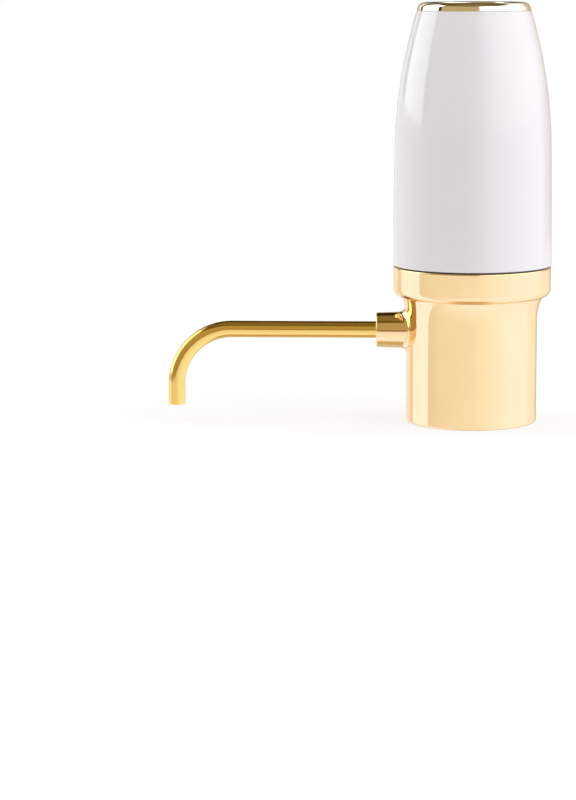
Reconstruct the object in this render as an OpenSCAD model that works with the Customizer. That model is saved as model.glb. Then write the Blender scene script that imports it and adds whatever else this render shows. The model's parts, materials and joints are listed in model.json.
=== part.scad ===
// Electric wine aerator. A small air pump in the upper housing pressurises the bottle, and the wine
// rises through the dip nipple, takes up air in the flow core and leaves by the side spout.
// Millimetres. Z is the bottle's axis, upwards, and Z = 0 is where the bottle's lip seats.
// The spout leaves along -X and the charging socket faces +Y.

/* [Bottle stopper] */
// Diameter of the sealing land that presses into the bottle's mouth
plug_d = 18.4; // [17.6:0.1:19.2]
// Length of the sealing land
plug_land = 9; // [6:0.5:10]
// Height of each of the two lead-in ribs below the land
plug_rib_h = 2.6; // [2:0.1:3]
// Diameter of the flange that the bottle's lip seals on
stopper_flange_d = 28; // [27:0.5:29]
// Thickness of that flange
stopper_flange_t = 3; // [2.5:0.1:3.5]

/* [Lower body] */
// Depth from the lower rim to the lip seat
socket_depth = 22.4; // [19:0.1:24]
// Inner diameter of the socket round the bottle's lip
socket_d = 33; // [31:0.2:34]
// Outer diameter of the plated skirt
skirt_d = 46.5; // [46:0.1:48]
// Wall of the plated shell
wall = 2.2; // [1.8:0.1:2.6]
// Rounding of the lower rim
rim_round = 0.9; // [0.5:0.1:1.4]
// Diameter of the flange that carries the white shell
flange_d = 56; // [55:0.2:57.5]
// Height of that flange
flange_h = 10.8; // [9.5:0.1:13]
// Height of the flange's underside above the lip seat
flange_z = 22.5; // [21.5:0.1:24]
// Quarter round below the flange
flange_round = 3; // [2:0.1:3.6]
// Rounding of the flange's upper edge
flange_edge = 0.8; // [0.4:0.1:1.2]
// Radius of the hollow sweep from the skirt into the flange
sweep_r = 17; // [12:0.5:22]
// Thickness of the inner ledge that the core and the chassis are screwed to
ledge_t = 2.4; // [2:0.1:3]

/* [Spout] */
// Outer diameter of the spout tube
spout_d = 6; // [5.4:0.1:6.4]
// Wall of the spout tube
spout_wall = 0.6; // [0.4:0.1:0.8]
// Height of the spout's axis above the lip seat
spout_z = 10.2; // [9.4:0.1:10.6]
// Reach from the body's axis to the spout's outlet
spout_reach = 105.7; // [85:0.1:130]
// Drop from the spout's axis to its outlet
spout_drop = 27.3; // [24:0.1:40]
// Bend radius of the tube's centre line
bend_r = 20; // [14:0.5:22]
// Diameter of the collar at its outer end
collar_d = 12.4; // [11:0.1:13]
// Distance of the collar's end from the body's axis
collar_reach = 34; // [31:0.2:40]
// Growth of the collar's radius towards its root
collar_draft = 0.4; // [0:0.1:0.6]
// Radius of the flare at the collar's root
collar_flare = 3.2; // [2.4:0.1:4]

/* [Dip nipple] */
// Outer diameter of the nipple that the dip hose is pushed onto
dip_d = 6; // [5.4:0.1:6.2]
// Wall of the nipple
dip_wall = 0.6; // [0.4:0.1:0.8]
// Distance of the nipple's end above the lower rim
dip_clear = 2.4; // [1.5:0.1:3]
// Height of a barb over the nipple's face
barb = 0.35; // [0.2:0.05:0.5]

/* [White shell] */
// Diameter at the lower edge
shell_base_d = 56.4; // [55.6:0.1:57.6]
// Diameter where the taper turns into the crown
shoulder_d = 55.3; // [54.4:0.1:55.8]
// Height of that shoulder above the lower edge
shoulder_h = 41.3; // [36:0.5:46]
// Diameter at the top edge
shell_top_d = 40.2; // [39.8:0.1:42]
// Height of the shell
shell_h = 89.4; // [86:0.2:96]
// Wall of the shell
shell_wall = 2.2; // [1.8:0.1:2.4]
// Rounding of the lower edge
shell_edge = 0.6; // [0.3:0.1:1]
// Thickness of the ledge inside the top edge
crown_t = 3; // [2.6:0.1:3.4]
// Thickness of the gasket between flange and shell
gasket_t = 0.5; // [0.4:0.1:0.8]

/* [Top button] */
// Height of the bezel above the shell
bezel_h = 2.9; // [2.6:0.1:4]
// Rounding of the bezel's outer edge
bezel_round = 2; // [1:0.1:2.4]
// Diameter of the button
button_d = 24.6; // [22:0.2:25]
// Travel of the button
button_travel = 1.5; // [0.8:0.1:2]
// Thickness of the button's top
button_t = 1.8; // [1.5:0.1:2.2]
// Depth of the dish in the button's top
button_dish = 0.6; // [0.2:0.1:0.9]
// Wire of the return spring
spring_wire = 0.8; // [0.6:0.1:1]
// Turns of the return spring
spring_turns = 5; // [4:1:6]

/* [Air pump] */
// Distance of the pump's axis from the body's axis
pump_x = 6.5; // [6.2:0.1:6.8]
// Diameter of the pump's casing
pump_d = 27; // [26.4:0.1:27.4]
// Diameter of the motor can
motor_d = 24.4; // [23:0.1:25]
// Length of the motor can
motor_len = 31; // [28:0.5:32]
// Diameter of the motor shaft
shaft_d = 2; // [1.6:0.1:2.2]
// Tilt of the wobble plate
tilt = 7; // [5:0.5:8]
// Radius of the circle that the three cups stand on
cup_pitch = 6.6; // [6.4:0.1:6.8]
// Diameter of each cup
cup_d = 8.4; // [8:0.1:8.6]

/* [Battery and boards] */
// Diameter of the cell
cell_d = 14; // [13.5:0.1:14.4]
// Length of the cell
cell_len = 50; // [46:0.5:52]
// Thickness of the circuit boards
board_t = 1.6; // [1:0.1:1.8]
// Width of the control board
board_w = 22; // [20:0.5:23]
// Length of the control board
board_h = 54; // [50:0.5:56]

/* [Clearances] */
// Running clearance on a radius
run_gap = 0.05; // [0.03:0.01:0.08]
// Assembly clearance on a radius
fit_gap = 0.15; // [0.1:0.01:0.2]
// Clearance between the button and its bezel
slide_gap = 0.2; // [0.15:0.01:0.3]

/* [Hidden] */
$fn = 96;
eps = 0.01;
// How far a boss starts inside the plate that carries it
sink = 0.5;

gold = "#e8c26a";
white = "#f4f3f2";
dark = "#2b2b2e";
steel = "#b9bcc0";
silicone = "#d9d9d6";
rubber = "#3a3a3c";
copper = "#b87440";
green = "#1f6b3a";

// Lower body and flow core
skirt_r = skirt_d / 2;
skirt_in = skirt_r - wall;
rim_z = -socket_depth;
flange_r = flange_d / 2;
seat_r = min(flange_r, shell_base_d / 2);
flange_in = seat_r - wall;
flange_top = flange_z + flange_h;
sweep_z = flange_z - 8;
spout_r = spout_d / 2;
collar_r = collar_d / 2;
gland_w = 2.4;
o_ring_wire = 1.8;
gland_r = spout_r + o_ring_wire + 0.1;
port_boss_r = gland_r + 1.3;
port_end = 8;
disc_t = 2.6;
spout_end = port_end + disc_t + 0.3;
floor_z = stopper_flange_t;
floor_t = 2;
core_r = skirt_in - 0.25;
core_wall = 1.8;
rib_t = 1.6;
core_low = rim_z + 1.5;
core_top = spout_z + port_boss_r + 0.8;
riser_r = 5.4;
channel_r = 2.3;
socket_r = socket_d / 2;
dip_r = dip_d / 2;
dip_top = floor_z + floor_t + 0.1;
dip_low = rim_z + dip_clear;
barb_pitch = 1.6;
ledge_top = core_top + ledge_t;
ledge_hole = 14.5;
plate_t = 2.4;
plate_top = ledge_top + plate_t;
plate_r = skirt_in - 0.4;
base_screws = [0, 120, 240];
base_screw_pitch = 17.4;
base_screw_r = 1.25;
base_screw_grip = 8;
base_head_r = 2.3;
base_head_h = 1.7;
air_bore = 1;
nipple_r = 2;
nipple_len = 6;
hose_wall = 1.2;
valve_r = 2.5;
valve_len = 5;

// White shell: a tapered wall from p0 to p1, then an arc that leaves p1 on the taper's tangent and ends at p2
shell_z = flange_top + gasket_t;
shell_top = shell_z + shell_h;
p0 = [shell_base_d / 2, shell_z];
p1 = [shoulder_d / 2, shell_z + shoulder_h];
p2 = [shell_top_d / 2, shell_top];
taper = (p1 - p0) / norm(p1 - p0);
inward = [-taper.y, taper.x];
crown_r = (p2 - p1) * (p2 - p1) / (2 * (p2 - p1) * inward);
crown_c = p1 + crown_r * inward;
function shell_r(z) = z < p1.y
    ? p0.x + (p1.x - p0.x) * (z - p0.y) / (p1.y - p0.y)
    : crown_c.x + sqrt(crown_r * crown_r - (z - crown_c.y) * (z - crown_c.y));
lip_r = flange_in - 0.1;
lip_t = 1.7;
lip_drop = 4;
lip_rise = 3.3;
gasket_inset = 0.4;

// Top button, from the bezel down to the switch
bezel_top = shell_top + bezel_h;
button_r = button_d / 2;
bezel_bore = button_r + slide_gap;
spigot_t = 1.75;
spigot_r = bezel_bore + spigot_t;
crown_hole = spigot_r + fit_gap;
crown_low = shell_top - crown_t;
bead = 0.4;
bead_h = 1.2;
spigot_low = crown_low - bead_h - 1.3;
button_top = bezel_top - 0.3;
button_skirt_t = 1.6;
button_flange_t = 1.4;
button_flange_r = button_r + 1.1;
button_flange_top = spigot_low - 0.1;
stem_r = 2.2;
guide_t = 2;
guide_top = button_flange_top - button_flange_t - button_travel - 0.8;
guide_r = 12.8;
leg_pitch = 11;
leg_r = 1.6;
leg_angles = [30, 150, 270];
plunger_r = 3;
plunger_top = guide_top - guide_t - 0.6;
plunger_len = 2.6;
switch_h = 4;
switch_top = plunger_top - 1.4 - button_travel + 1.5;
switch_w = 12;
switch_board_r = 9.2;
deck_t = 2;
deck_top = switch_top - switch_h - board_t;
shell_screw_pitch = (shell_r(crown_low) - shell_wall + spigot_r + bead) / 2;
shell_screw_angles = [90, 210, 330];
shell_screw_r = 1;
shell_screw_head_r = 1.9;
shell_screw_head_h = 1.3;
shell_screw_len = 8;
shell_screw_low = shell_top - shell_screw_head_h - shell_screw_len - 1.7;
post_r = 1.8;
deck_r = shell_screw_pitch + post_r + 0.4;

// Air pump, from its nipple up to the motor's terminals
pump_r = pump_d / 2;
motor_r = motor_d / 2;
shaft_r = shaft_d / 2;
shelf_t = 2;
shelf_lip = 0.8;
cushion_t = 1.5;
head_z = plate_top + 9.2;
head_t = 5;
valve_t = 3;
film_t = 1;
seat_t = 5;
casing_h = 16;
casing_wall = 1.6;
casing_top_t = 2;
valve_z = head_z + head_t;
film_z = valve_z + valve_t;
seat_z = film_z + film_t;
casing_z = seat_z + seat_t;
motor_z = casing_z + casing_h;
motor_back = motor_z + motor_len;
can_wall = 1;
cap_t = 2;
cap_plug = 1.5;
cup_angles = [0, 120, 240];
pump_screw_angles = [60, 180, 300];
pump_screw_pitch = 10.9;
pump_screw_r = 0.75;
cup_r = cup_d / 2;
cup_wall = 0.8;
cup_rise = 5.2;
plenum_r = 7.2;
plenum_h = 2;
flap_t = 0.5;
wobble_z = casing_z + 2.5;
arm_t = 1.6;
arm_w = 4.4;
arm_end_r = 2.9;
hub_r = 2.6;
hub_low = -1.2;
hub_high = 2.9;
pin_r = 0.9;
pin_low = 0.9;
pin_high = 6.6;
eccentric_r = 5.5;
eccentric_z = wobble_z + 3.6;
eccentric_top = motor_z - casing_top_t - 0.6;
shaft_low = wobble_z + pin_high + 0.4;
boss_r = 3;
boss_drop = 1.8;
bush_r = 2.4;
rotor_r = motor_r - can_wall - 2.2;
magnet_t = 1.5;
rear_bush_t = 2.2;
rear_bush_z = motor_back - cap_plug + 0.3;
shaft_high = rear_bush_z + rear_bush_t;
rotor_low_gap = 6;
rotor_high_gap = 7;

// Chassis, cell and control board
spine_t = 1.7;
spine_x1 = pump_x - pump_r + 0.1;
spine_x0 = spine_x1 - spine_t;
spine_w = 34;
cell_r = cell_d / 2;
cell_x = spine_x0 - 0.3 - cell_r;
clip_t = 1.7;
clip_h = 6;
tab_t = 0.3;
cell_shelf_t = 1.5;
cell_z = head_z + 2.5;
cell_nub_r = 2.5;
cell_nub_h = 0.8;
cell_top = cell_z + cell_len + cell_nub_h;
board_y = spine_w / 2;
board_x = 1;
board_z = head_z - 0.6;
board_screw_x = pump_x;
board_screw_r = 0.75;
board_screw_grip = 2.6;
board_head_r = 1.5;
board_head_h = 1;
pump_clip_z = casing_z + 2;
motor_clip_z = motor_z + 14;
board_screw_z = [pump_clip_z + clip_h / 2, motor_clip_z + clip_h / 2];
port_z = board_z + 9.5;
port_w = 8.94;
port_h = 3.26;
port_len = 8;
port_skin = 0.3;
port_gap = 0.3;
light_z = port_z + 7;
light_r = 1;

// A ring round the Z axis
module ring(r_in, r_out, z0, z1) {
    translate([0, 0, z0]) difference() {
        cylinder(r = r_out, h = z1 - z0);
        translate([0, 0, -1]) cylinder(r = r_in, h = z1 - z0 + 2);
    }
}

// A disc or post on the Z axis between two heights
module post(r, z0, z1) {
    translate([0, 0, z0]) cylinder(r = r, h = z1 - z0);
}

// Half of a turned block's section, with its two outer corners rounded
module block_section(r, z0, z1, low, high) {
    difference() {
        translate([0, z0]) square([r, z1 - z0]);
        translate([r - low, z0]) difference() {
            square(low + eps);
            translate([0, low]) circle(low);
        }
        translate([r - high, z1 - high]) difference() {
            square(high + eps);
            circle(high);
        }
    }
}

// Copies its children at each angle on a circle round the Z axis
module spread(angles, pitch) {
    for (a = angles) rotate(a) translate([pitch, 0, 0]) children();
}

module at_pump() {
    translate([pump_x, 0, 0]) children();
}

// Turns what is built along +Z so that it runs along -X at the spout's height
module along_spout() {
    translate([0, 0, spout_z]) rotate([0, -90, 0]) children();
}

// A pan-head screw with a hexagon socket, its head's seat at z = 0 and its shank downwards
module screw(r, len, head_r, head_h) {
    difference() {
        union() {
            cylinder(r = head_r, h = head_h);
            translate([0, 0, -len]) cylinder(r = r, h = len + eps);
        }
        translate([0, 0, head_h / 2]) cylinder(r = head_r / 2, h = head_h, $fn = 6);
    }
}

// Outer section of the plated lower shell: skirt, hollow sweep and flange
module base_section() {
    union() {
        block_section(skirt_r, rim_z, flange_z + eps, rim_round, 0);
        difference() {
            translate([skirt_r - 1, sweep_z]) square([4, flange_z + flange_round / 2 - sweep_z]);
            translate([skirt_r + sweep_r, sweep_z]) circle(sweep_r, $fn = 240);
            translate([flange_r - flange_round, flange_z - 1]) square([flange_round, 1]);
        }
        block_section(flange_r, flange_z, flange_top, flange_round, flange_edge);
    }
}

// The spout's collar: a drafted stub with a rounded end and a flared root
module collar() {
    root_r = collar_r + collar_draft;
    flare_z = skirt_r + 0.65 * collar_flare;
    edge = 0.5;
    along_spout() {
        translate([0, 0, skirt_in]) cylinder(r1 = root_r, r2 = collar_r, h = collar_reach - edge - skirt_in);
        rotate_extrude() block_section(collar_r, skirt_in, collar_reach, 0, edge);
        rotate_extrude() difference() {
            translate([0, skirt_in]) square([root_r + collar_flare, flare_z - skirt_in]);
            translate([root_r + collar_flare, flare_z]) circle(collar_flare);
        }
    }
}

module base_shell() {
    color(gold) difference() {
        union() {
            rotate_extrude() base_section();
            collar();
        }
        post(skirt_in, rim_z - 1, core_top);
        post(ledge_hole, core_top - 1, ledge_top + 1);
        post(skirt_in, ledge_top, flange_top + 1);
        post(flange_in, flange_z + wall, flange_top + 1);
        along_spout() cylinder(r = spout_r + 2 * run_gap, h = collar_reach + 1);
        spread(base_screws, base_screw_pitch) post(base_screw_r + fit_gap, core_top - 1, ledge_top + 1);
    }
}

// Moulded core: bottle socket below, wine and air channels above
module flow_core() {
    sleeve_r = socket_r + core_wall;
    color(dark) difference() {
        union() {
            ring(socket_r, sleeve_r, core_low, floor_z + sink);
            ring(socket_r, core_r, core_low, core_low + 2);
            for (a = [0 : 45 : 315]) rotate(a) translate([sleeve_r - 0.5, -rib_t / 2, core_low + 1])
                cube([core_r - sleeve_r + 0.3, rib_t, floor_z - core_low]);
            ring(stopper_flange_d / 2 + run_gap, sleeve_r, 0, floor_z + sink);
            post(core_r, floor_z, floor_z + floor_t);
            ring(core_r - core_wall, core_r, floor_z + sink, core_top);
            post(riser_r, floor_z + sink, spout_z + channel_r + 2);
            intersection() {
                along_spout() cylinder(r = port_boss_r, h = core_r);
                post(core_r, floor_z + sink, core_top);
            }
            at_pump() post(valve_r + 1.2, floor_z + sink, core_top);
            at_pump() post(nipple_r, floor_z + sink, core_top + nipple_len);
            translate([0, -1.5, floor_z + sink]) cube([pump_x, 3, spout_z - floor_z + 1.5]);
            spread(base_screws, base_screw_pitch) post(base_screw_r + 1.6, floor_z + sink, core_top);
        }
        post(dip_r + run_gap, floor_z - 1, dip_top + 0.1);
        post(channel_r, floor_z, spout_z + channel_r);
        along_spout() cylinder(r = channel_r - 0.2, h = port_end + 1);
        along_spout() translate([0, 0, port_end]) cylinder(r = spout_r + run_gap, h = core_r);
        along_spout() for (z = o_ring_z()) translate([0, 0, z - gland_w / 2]) cylinder(r = gland_r, h = gland_w);
        at_pump() post(air_bore, floor_z - 1, core_top + nipple_len + 1);
        at_pump() post(valve_r + run_gap, floor_z - 1, floor_z + valve_len + 0.2);
        translate([0, 0, spout_z]) rotate([0, 90, 0]) cylinder(r = 0.5, h = pump_x);
        spread(base_screws, base_screw_pitch) post(base_screw_r + run_gap, core_top - 9, core_top + 1);
    }
}

// Distances of the two spout O-rings from the body's axis
function o_ring_z() = [spout_end + 2.2, spout_end + 6.4];

// Silicone stopper: lip seal, sealing land and two lead-in ribs
module stopper() {
    land_r = plug_d / 2;
    rib_step = 0.45;
    groove = 0.7;
    low = -plug_land - 2 * plug_rib_h;
    color(silicone) difference() {
        union() {
            post(stopper_flange_d / 2, 0, stopper_flange_t);
            post(land_r, -plug_land, eps);
            for (i = [0, 1]) {
                top = -plug_land - i * plug_rib_h;
                translate([0, 0, top - plug_rib_h]) cylinder(
                    r1 = land_r - rib_step * (i + 1) - groove, r2 = land_r - rib_step * (i + 1),
                    h = plug_rib_h + eps);
            }
        }
        post(dip_r + run_gap, low - 1, stopper_flange_t + 1);
        at_pump() post(air_bore + 0.2, low - 1, stopper_flange_t + 1);
    }
}

// Barbed nipple, seated in the core and held by the stopper, that the dip hose is pushed onto
module dip_nipple() {
    color(steel) difference() {
        union() {
            post(dip_r, dip_low, dip_top);
            for (i = [0 : 2]) translate([0, 0, dip_low + 0.3 + i * barb_pitch])
                cylinder(r1 = dip_r - barb, r2 = dip_r + barb, h = barb_pitch - 0.2);
        }
        post(dip_r - dip_wall, dip_low - 1, dip_top + 1);
    }
}

// Solid bar along the spout's centre line
module spout_bar(r, over) {
    along_spout() translate([0, 0, spout_end - over]) cylinder(r = r, h = spout_reach - bend_r - spout_end + over);
    translate([bend_r - spout_reach, 0, spout_z - bend_r]) {
        rotate([90, 0, 0]) rotate([0, 0, 90]) rotate_extrude(angle = 90) translate([bend_r, 0]) circle(r);
        translate([-bend_r, 0, bend_r - spout_drop - over]) cylinder(r = r, h = spout_drop - bend_r + over);
    }
}

module spout_tube() {
    color(gold) difference() {
        spout_bar(spout_r, 0);
        spout_bar(spout_r - spout_wall, 1);
    }
}

module spout_o_rings() {
    wire_r = o_ring_wire / 2;
    color(rubber) along_spout() for (z = o_ring_z()) translate([0, 0, z])
        rotate_extrude() translate([spout_r + run_gap / 2 + wire_r, 0]) circle(wire_r);
}

// Perforated disc between the wine channel and the spout, where the bled air breaks up
module aerator_disc() {
    color(steel) along_spout() translate([0, 0, port_end + 0.1]) difference() {
        cylinder(r = spout_r, h = disc_t);
        translate([0, 0, -1]) cylinder(r = 0.8, h = disc_t + 2);
        spread([0 : 60 : 300], 1.9) translate([0, 0, -1]) cylinder(r = 0.5, h = disc_t + 2);
    }
}

// Duckbill valve that keeps wine out of the pump
module air_check_valve() {
    color(silicone) at_pump() difference() {
        union() {
            post(valve_r, floor_z, floor_z + 1.4);
            translate([0, 0, floor_z + 1.4 - eps]) cylinder(r1 = valve_r - 0.3, r2 = air_bore, h = valve_len - 1.4);
        }
        post(air_bore - 0.2, floor_z - 1, floor_z + valve_len - 0.8);
    }
}

// Straight hose from the core's nipple to the pump's nipple
module air_hose() {
    color(silicone) at_pump()
        ring(nipple_r + run_gap, nipple_r + hose_wall, core_top + 0.1, head_z - 0.1);
}

// One-piece frame: foot plate, spine, clips for pump, motor and cell, and the top deck
module chassis() {
    color(dark) difference() {
        union() {
            post(plate_r, ledge_top, plate_top);
            difference() {
                translate([spine_x0, -spine_w / 2, plate_top - eps])
                    cube([spine_t, spine_w, deck_top - deck_t - plate_top + 2 * eps]);
                spread(base_screws, base_screw_pitch)
                    post(base_head_r + fit_gap, plate_top - 1, plate_top + base_head_h + fit_gap);
            }
            difference() {
                at_pump() union() {
                    post(pump_r + clip_t, head_z - cushion_t - shelf_t, head_z - cushion_t);
                    post(pump_r + clip_t, pump_clip_z, pump_clip_z + clip_h);
                    post(motor_r + clip_t, motor_clip_z, motor_clip_z + clip_h);
                    for (z = board_screw_z) translate([0, 0, z]) rotate([-90, 0, 0]) cylinder(r = 2, h = board_y);
                }
                translate([spine_x0 - 20, -30, 0]) cube([20, 60, 200]);
                for (z = [pump_clip_z, motor_clip_z]) translate([pump_x + 8, -30, z - 1]) cube([20, 60, clip_h + 2]);
            }
            intersection() {
                translate([cell_x, 0, 0]) union() {
                    post(cell_r + clip_t, cell_z - tab_t - cell_shelf_t, cell_z - tab_t);
                    for (z = [cell_z + 12, cell_z + 35]) post(cell_r + clip_t, z, z + clip_h);
                    post(cell_r - 1, cell_top + tab_t + 0.1, cell_top + tab_t + 0.1 + cell_shelf_t);
                }
                translate([cell_x - 3, -30, 0]) cube([spine_x1 - cell_x + 3, 60, 200]);
            }
            translate([spine_x0 - 6, -3, cell_top + tab_t + 0.1]) cube([6 + eps, 6, cell_shelf_t]);
            post(deck_r, deck_top - deck_t, deck_top);
            spread(shell_screw_angles, shell_screw_pitch) post(post_r, deck_top - eps, crown_low);
        }
        at_pump() post(pump_r + fit_gap, head_z - cushion_t, motor_z);
        at_pump() post(motor_r + fit_gap, motor_z - 1, motor_back + 2);
        at_pump() post(pump_r - shelf_lip, head_z - cushion_t - shelf_t - 1, head_z);
        translate([cell_x, 0, 0]) post(cell_r + fit_gap, cell_z - tab_t, cell_z + cell_len);
        at_pump() post(nipple_r + hose_wall + 0.6, ledge_top - 1, plate_top + 1);
        spread(base_screws, base_screw_pitch) post(base_screw_r + fit_gap, ledge_top - 1, plate_top + 1);
        spread(shell_screw_angles, shell_screw_pitch) post(shell_screw_r + run_gap, shell_screw_low, crown_low + 1);
        spread(leg_angles, leg_pitch) post(1 + run_gap, deck_top - deck_t - 1, deck_top + 1);
        for (z = board_screw_z) translate([board_screw_x, board_y, z]) rotate([90, 0, 0])
            translate([0, 0, -1]) cylinder(r = board_screw_r + run_gap, h = 4);
    }
}

module chassis_screws() {
    color(steel) spread(base_screws, base_screw_pitch) translate([0, 0, plate_top])
        screw(base_screw_r, plate_t + ledge_t + base_screw_grip, base_head_r, base_head_h);
}

// Rubber ring that keeps the pump's vibration out of the chassis
module pump_cushion() {
    color(rubber) at_pump() ring(pump_r - shelf_lip, pump_r, head_z - cushion_t, head_z);
}

module pump_screw_holes(z0, z1) {
    spread(pump_screw_angles, pump_screw_pitch) post(pump_screw_r + fit_gap, z0 - 1, z1 + 1);
}

module pump_head() {
    color(dark) at_pump() difference() {
        union() {
            post(pump_r, head_z, valve_z);
            post(nipple_r, head_z - nipple_len, head_z + eps);
        }
        post(plenum_r, valve_z - plenum_h, valve_z + 1);
        ring(8.2, 9.8 - fit_gap, valve_z - 1.2, valve_z + 1);
        translate([0, 0, valve_z - 0.7]) rotate([-90, 0, 0]) translate([0, 0, 9]) cylinder(r = 0.5, h = pump_r);
        post(air_bore, head_z - nipple_len - 1, valve_z);
        pump_screw_holes(head_z, valve_z);
    }
}

module valve_plate() {
    color(silicone) at_pump() difference() {
        post(pump_r, valve_z, film_z);
        spread(cup_angles, cup_pitch - 2.4) post(0.8, valve_z - 1, film_z + 1);
        spread(cup_angles, cup_pitch + 2.2) post(0.8, valve_z - 1, film_z + 1);
        pump_screw_holes(valve_z, film_z);
    }
}

// Rubber disc that lets air out of the cups and not back
module valve_flap() {
    color(rubber) at_pump() ring(1.2, plenum_r - 0.4, valve_z - flap_t, valve_z);
}

module diaphragm() {
    nub_r = 0.9;
    nub_top = wobble_z + 2.2;
    color(rubber) at_pump() difference() {
        union() {
            post(pump_r, film_z, seat_z);
            spread(cup_angles, cup_pitch) post(cup_r, film_z, seat_z + cup_rise);
            spread(cup_angles, cup_pitch) post(nub_r, seat_z, nub_top);
        }
        spread(cup_angles, cup_pitch) post(cup_r - cup_wall, film_z - 1, seat_z + cup_rise - cup_wall);
        pump_screw_holes(film_z, seat_z);
    }
}

module diaphragm_seat() {
    color(dark) at_pump() difference() {
        post(pump_r, seat_z, casing_z);
        spread(cup_angles, cup_pitch) post(cup_r + 0.4, seat_z - 1, casing_z + 1);
        pump_screw_holes(seat_z, casing_z);
    }
}

module pump_casing() {
    screw_depth = 7;
    color(dark) at_pump() difference() {
        union() {
            ring(pump_r - casing_wall, pump_r, casing_z, motor_z);
            post(pump_r, motor_z - casing_top_t, motor_z);
            intersection() {
                spread(pump_screw_angles, pump_screw_pitch) post(pump_screw_r + 1, casing_z, casing_z + screw_depth + 2);
                post(pump_r, casing_z, motor_z);
            }
        }
        post(boss_r + fit_gap, motor_z - casing_top_t - 1, motor_z + 1);
        spread(pump_screw_angles, pump_screw_pitch) post(pump_screw_r + run_gap, casing_z - 1, casing_z + screw_depth);
    }
}

module pump_screws() {
    color(steel) at_pump() spread(pump_screw_angles, pump_screw_pitch) translate([0, 0, head_z]) mirror([0, 0, 1])
        screw(pump_screw_r, casing_z - head_z + 6.5, 1.6, 1.2);
}

// Places its children on the crank's tilted axis, with the nutation's fixed point at the origin
module on_crank() {
    translate([pump_x, 0, wobble_z]) rotate([0, tilt, 0]) children();
}

// Three-armed plate that works the cups without turning
module wobble_plate() {
    color(white) on_crank() difference() {
        union() {
            post(hub_r, hub_low, hub_high);
            translate([0, 0, -arm_t / 2]) linear_extrude(arm_t) for (a = cup_angles) rotate(a) {
                translate([0, -arm_w / 2]) square([cup_pitch, arm_w]);
                translate([cup_pitch, 0]) circle(arm_end_r);
            }
        }
        post(pin_r + run_gap, pin_low - 0.1, hub_high + 1);
        spread(cup_angles, cup_pitch) post(1.4, -arm_t, arm_t);
    }
}

module crank_pin() {
    color(steel) on_crank() post(pin_r, pin_low, pin_high);
}

module eccentric() {
    color(white) difference() {
        at_pump() post(eccentric_r, eccentric_z, eccentric_top);
        on_crank() post(pin_r + run_gap, pin_low, pin_high + 0.1);
        at_pump() post(shaft_r + run_gap, shaft_low - 0.1, eccentric_top + 1);
    }
}

module motor_shaft() {
    color(steel) at_pump() post(shaft_r, shaft_low, shaft_high);
}

// Three-pole armature
module rotor_core() {
    low = motor_z + rotor_low_gap;
    high = motor_back - rotor_high_gap;
    color(copper) at_pump() difference() {
        post(rotor_r, low, high);
        for (a = [60, 180, 300]) rotate(a) translate([rotor_r * 0.45, -1.2, low - 1])
            cube([rotor_r, 2.4, high - low + 2]);
        post(shaft_r + run_gap / 2, low - 1, high + 1);
    }
}

module motor_can() {
    color(steel) at_pump() difference() {
        union() {
            post(motor_r, motor_z, motor_back);
            post(boss_r, motor_z - boss_drop, motor_z + eps);
        }
        post(motor_r - can_wall, motor_z + can_wall, motor_back + 1);
        post(bush_r + run_gap, motor_z - boss_drop - 1, motor_z + 2);
    }
}

module motor_magnets() {
    outer = motor_r - can_wall - 0.1;
    color(rubber) at_pump() for (a = [25, 205]) rotate(a)
        translate([0, 0, motor_z + 4]) rotate_extrude(angle = 130)
            translate([outer - magnet_t, 0]) square([magnet_t, motor_len - 9]);
}

module motor_bushes() {
    color(copper) at_pump() {
        ring(shaft_r + run_gap, bush_r, motor_z - boss_drop, motor_z + 2);
        ring(shaft_r + run_gap, bush_r, rear_bush_z, shaft_high);
    }
}

module motor_end_cap() {
    color(dark) at_pump() difference() {
        union() {
            post(motor_r, motor_back, motor_back + cap_t);
            post(motor_r - can_wall - run_gap, motor_back - cap_plug, motor_back + eps);
        }
        post(bush_r + run_gap, motor_back - cap_plug - 1, shaft_high + 0.1);
        for (y = terminal_y()) translate([-0.4, y - 1.4, motor_back - cap_plug - 1]) cube([0.8, 2.8, cap_t + cap_plug + 2]);
    }
}

function terminal_y() = [-7, 7];

module motor_terminals() {
    color(copper) at_pump() for (y = terminal_y())
        translate([-0.3, y - 1.3, motor_back - cap_plug + 0.2]) cube([0.6, 2.6, cap_t + cap_plug + 2.4]);
}

module battery_cell() {
    color("#3f74b5") translate([cell_x, 0, 0]) {
        post(cell_r, cell_z, cell_z + cell_len);
        post(cell_nub_r, cell_z, cell_top);
    }
}

// Nickel strips on the cell's two ends
module battery_tabs() {
    color(steel) for (z = [cell_z - tab_t, cell_top])
        translate([cell_x - 2, -2.5, z]) cube([cell_r + 1, 5, tab_t]);
}

// Control board with its charger chip, coil and driver
module control_board() {
    color(green) difference() {
        union() {
            translate([board_x - board_w / 2, board_y, board_z]) cube([board_w, board_t, board_h]);
            translate([-4, board_y + board_t - eps, light_z + 5]) cube([5, 1.2, 5]);
            translate([-5, board_y + board_t - eps, light_z + 20]) cube([4, 1, 6]);
            translate([4, board_y + board_t - eps, light_z + 10]) cube([4, 1.8, 4]);
        }
        for (z = board_screw_z) translate([board_screw_x, board_y - 1, z]) rotate([-90, 0, 0])
            cylinder(r = board_screw_r + fit_gap, h = board_t + 4);
    }
}

module board_screws() {
    color(steel) for (z = board_screw_z) translate([board_screw_x, board_y + board_t, z]) rotate([-90, 0, 0])
        screw(board_screw_r, board_t + board_screw_grip, board_head_r, board_head_h);
}

// Section with two round ends, as wide and high as given
module slot_section(w, h) {
    square([w - h, h], center = true);
    for (x = [-1, 1]) translate([x * (w - h) / 2, 0]) circle(h / 2);
}

// Places a section on the control board's outer face, extruded towards +Y
module from_board(len, z) {
    translate([0, board_y + board_t, z]) rotate([-90, 0, 0]) linear_extrude(len) children();
}

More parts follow.
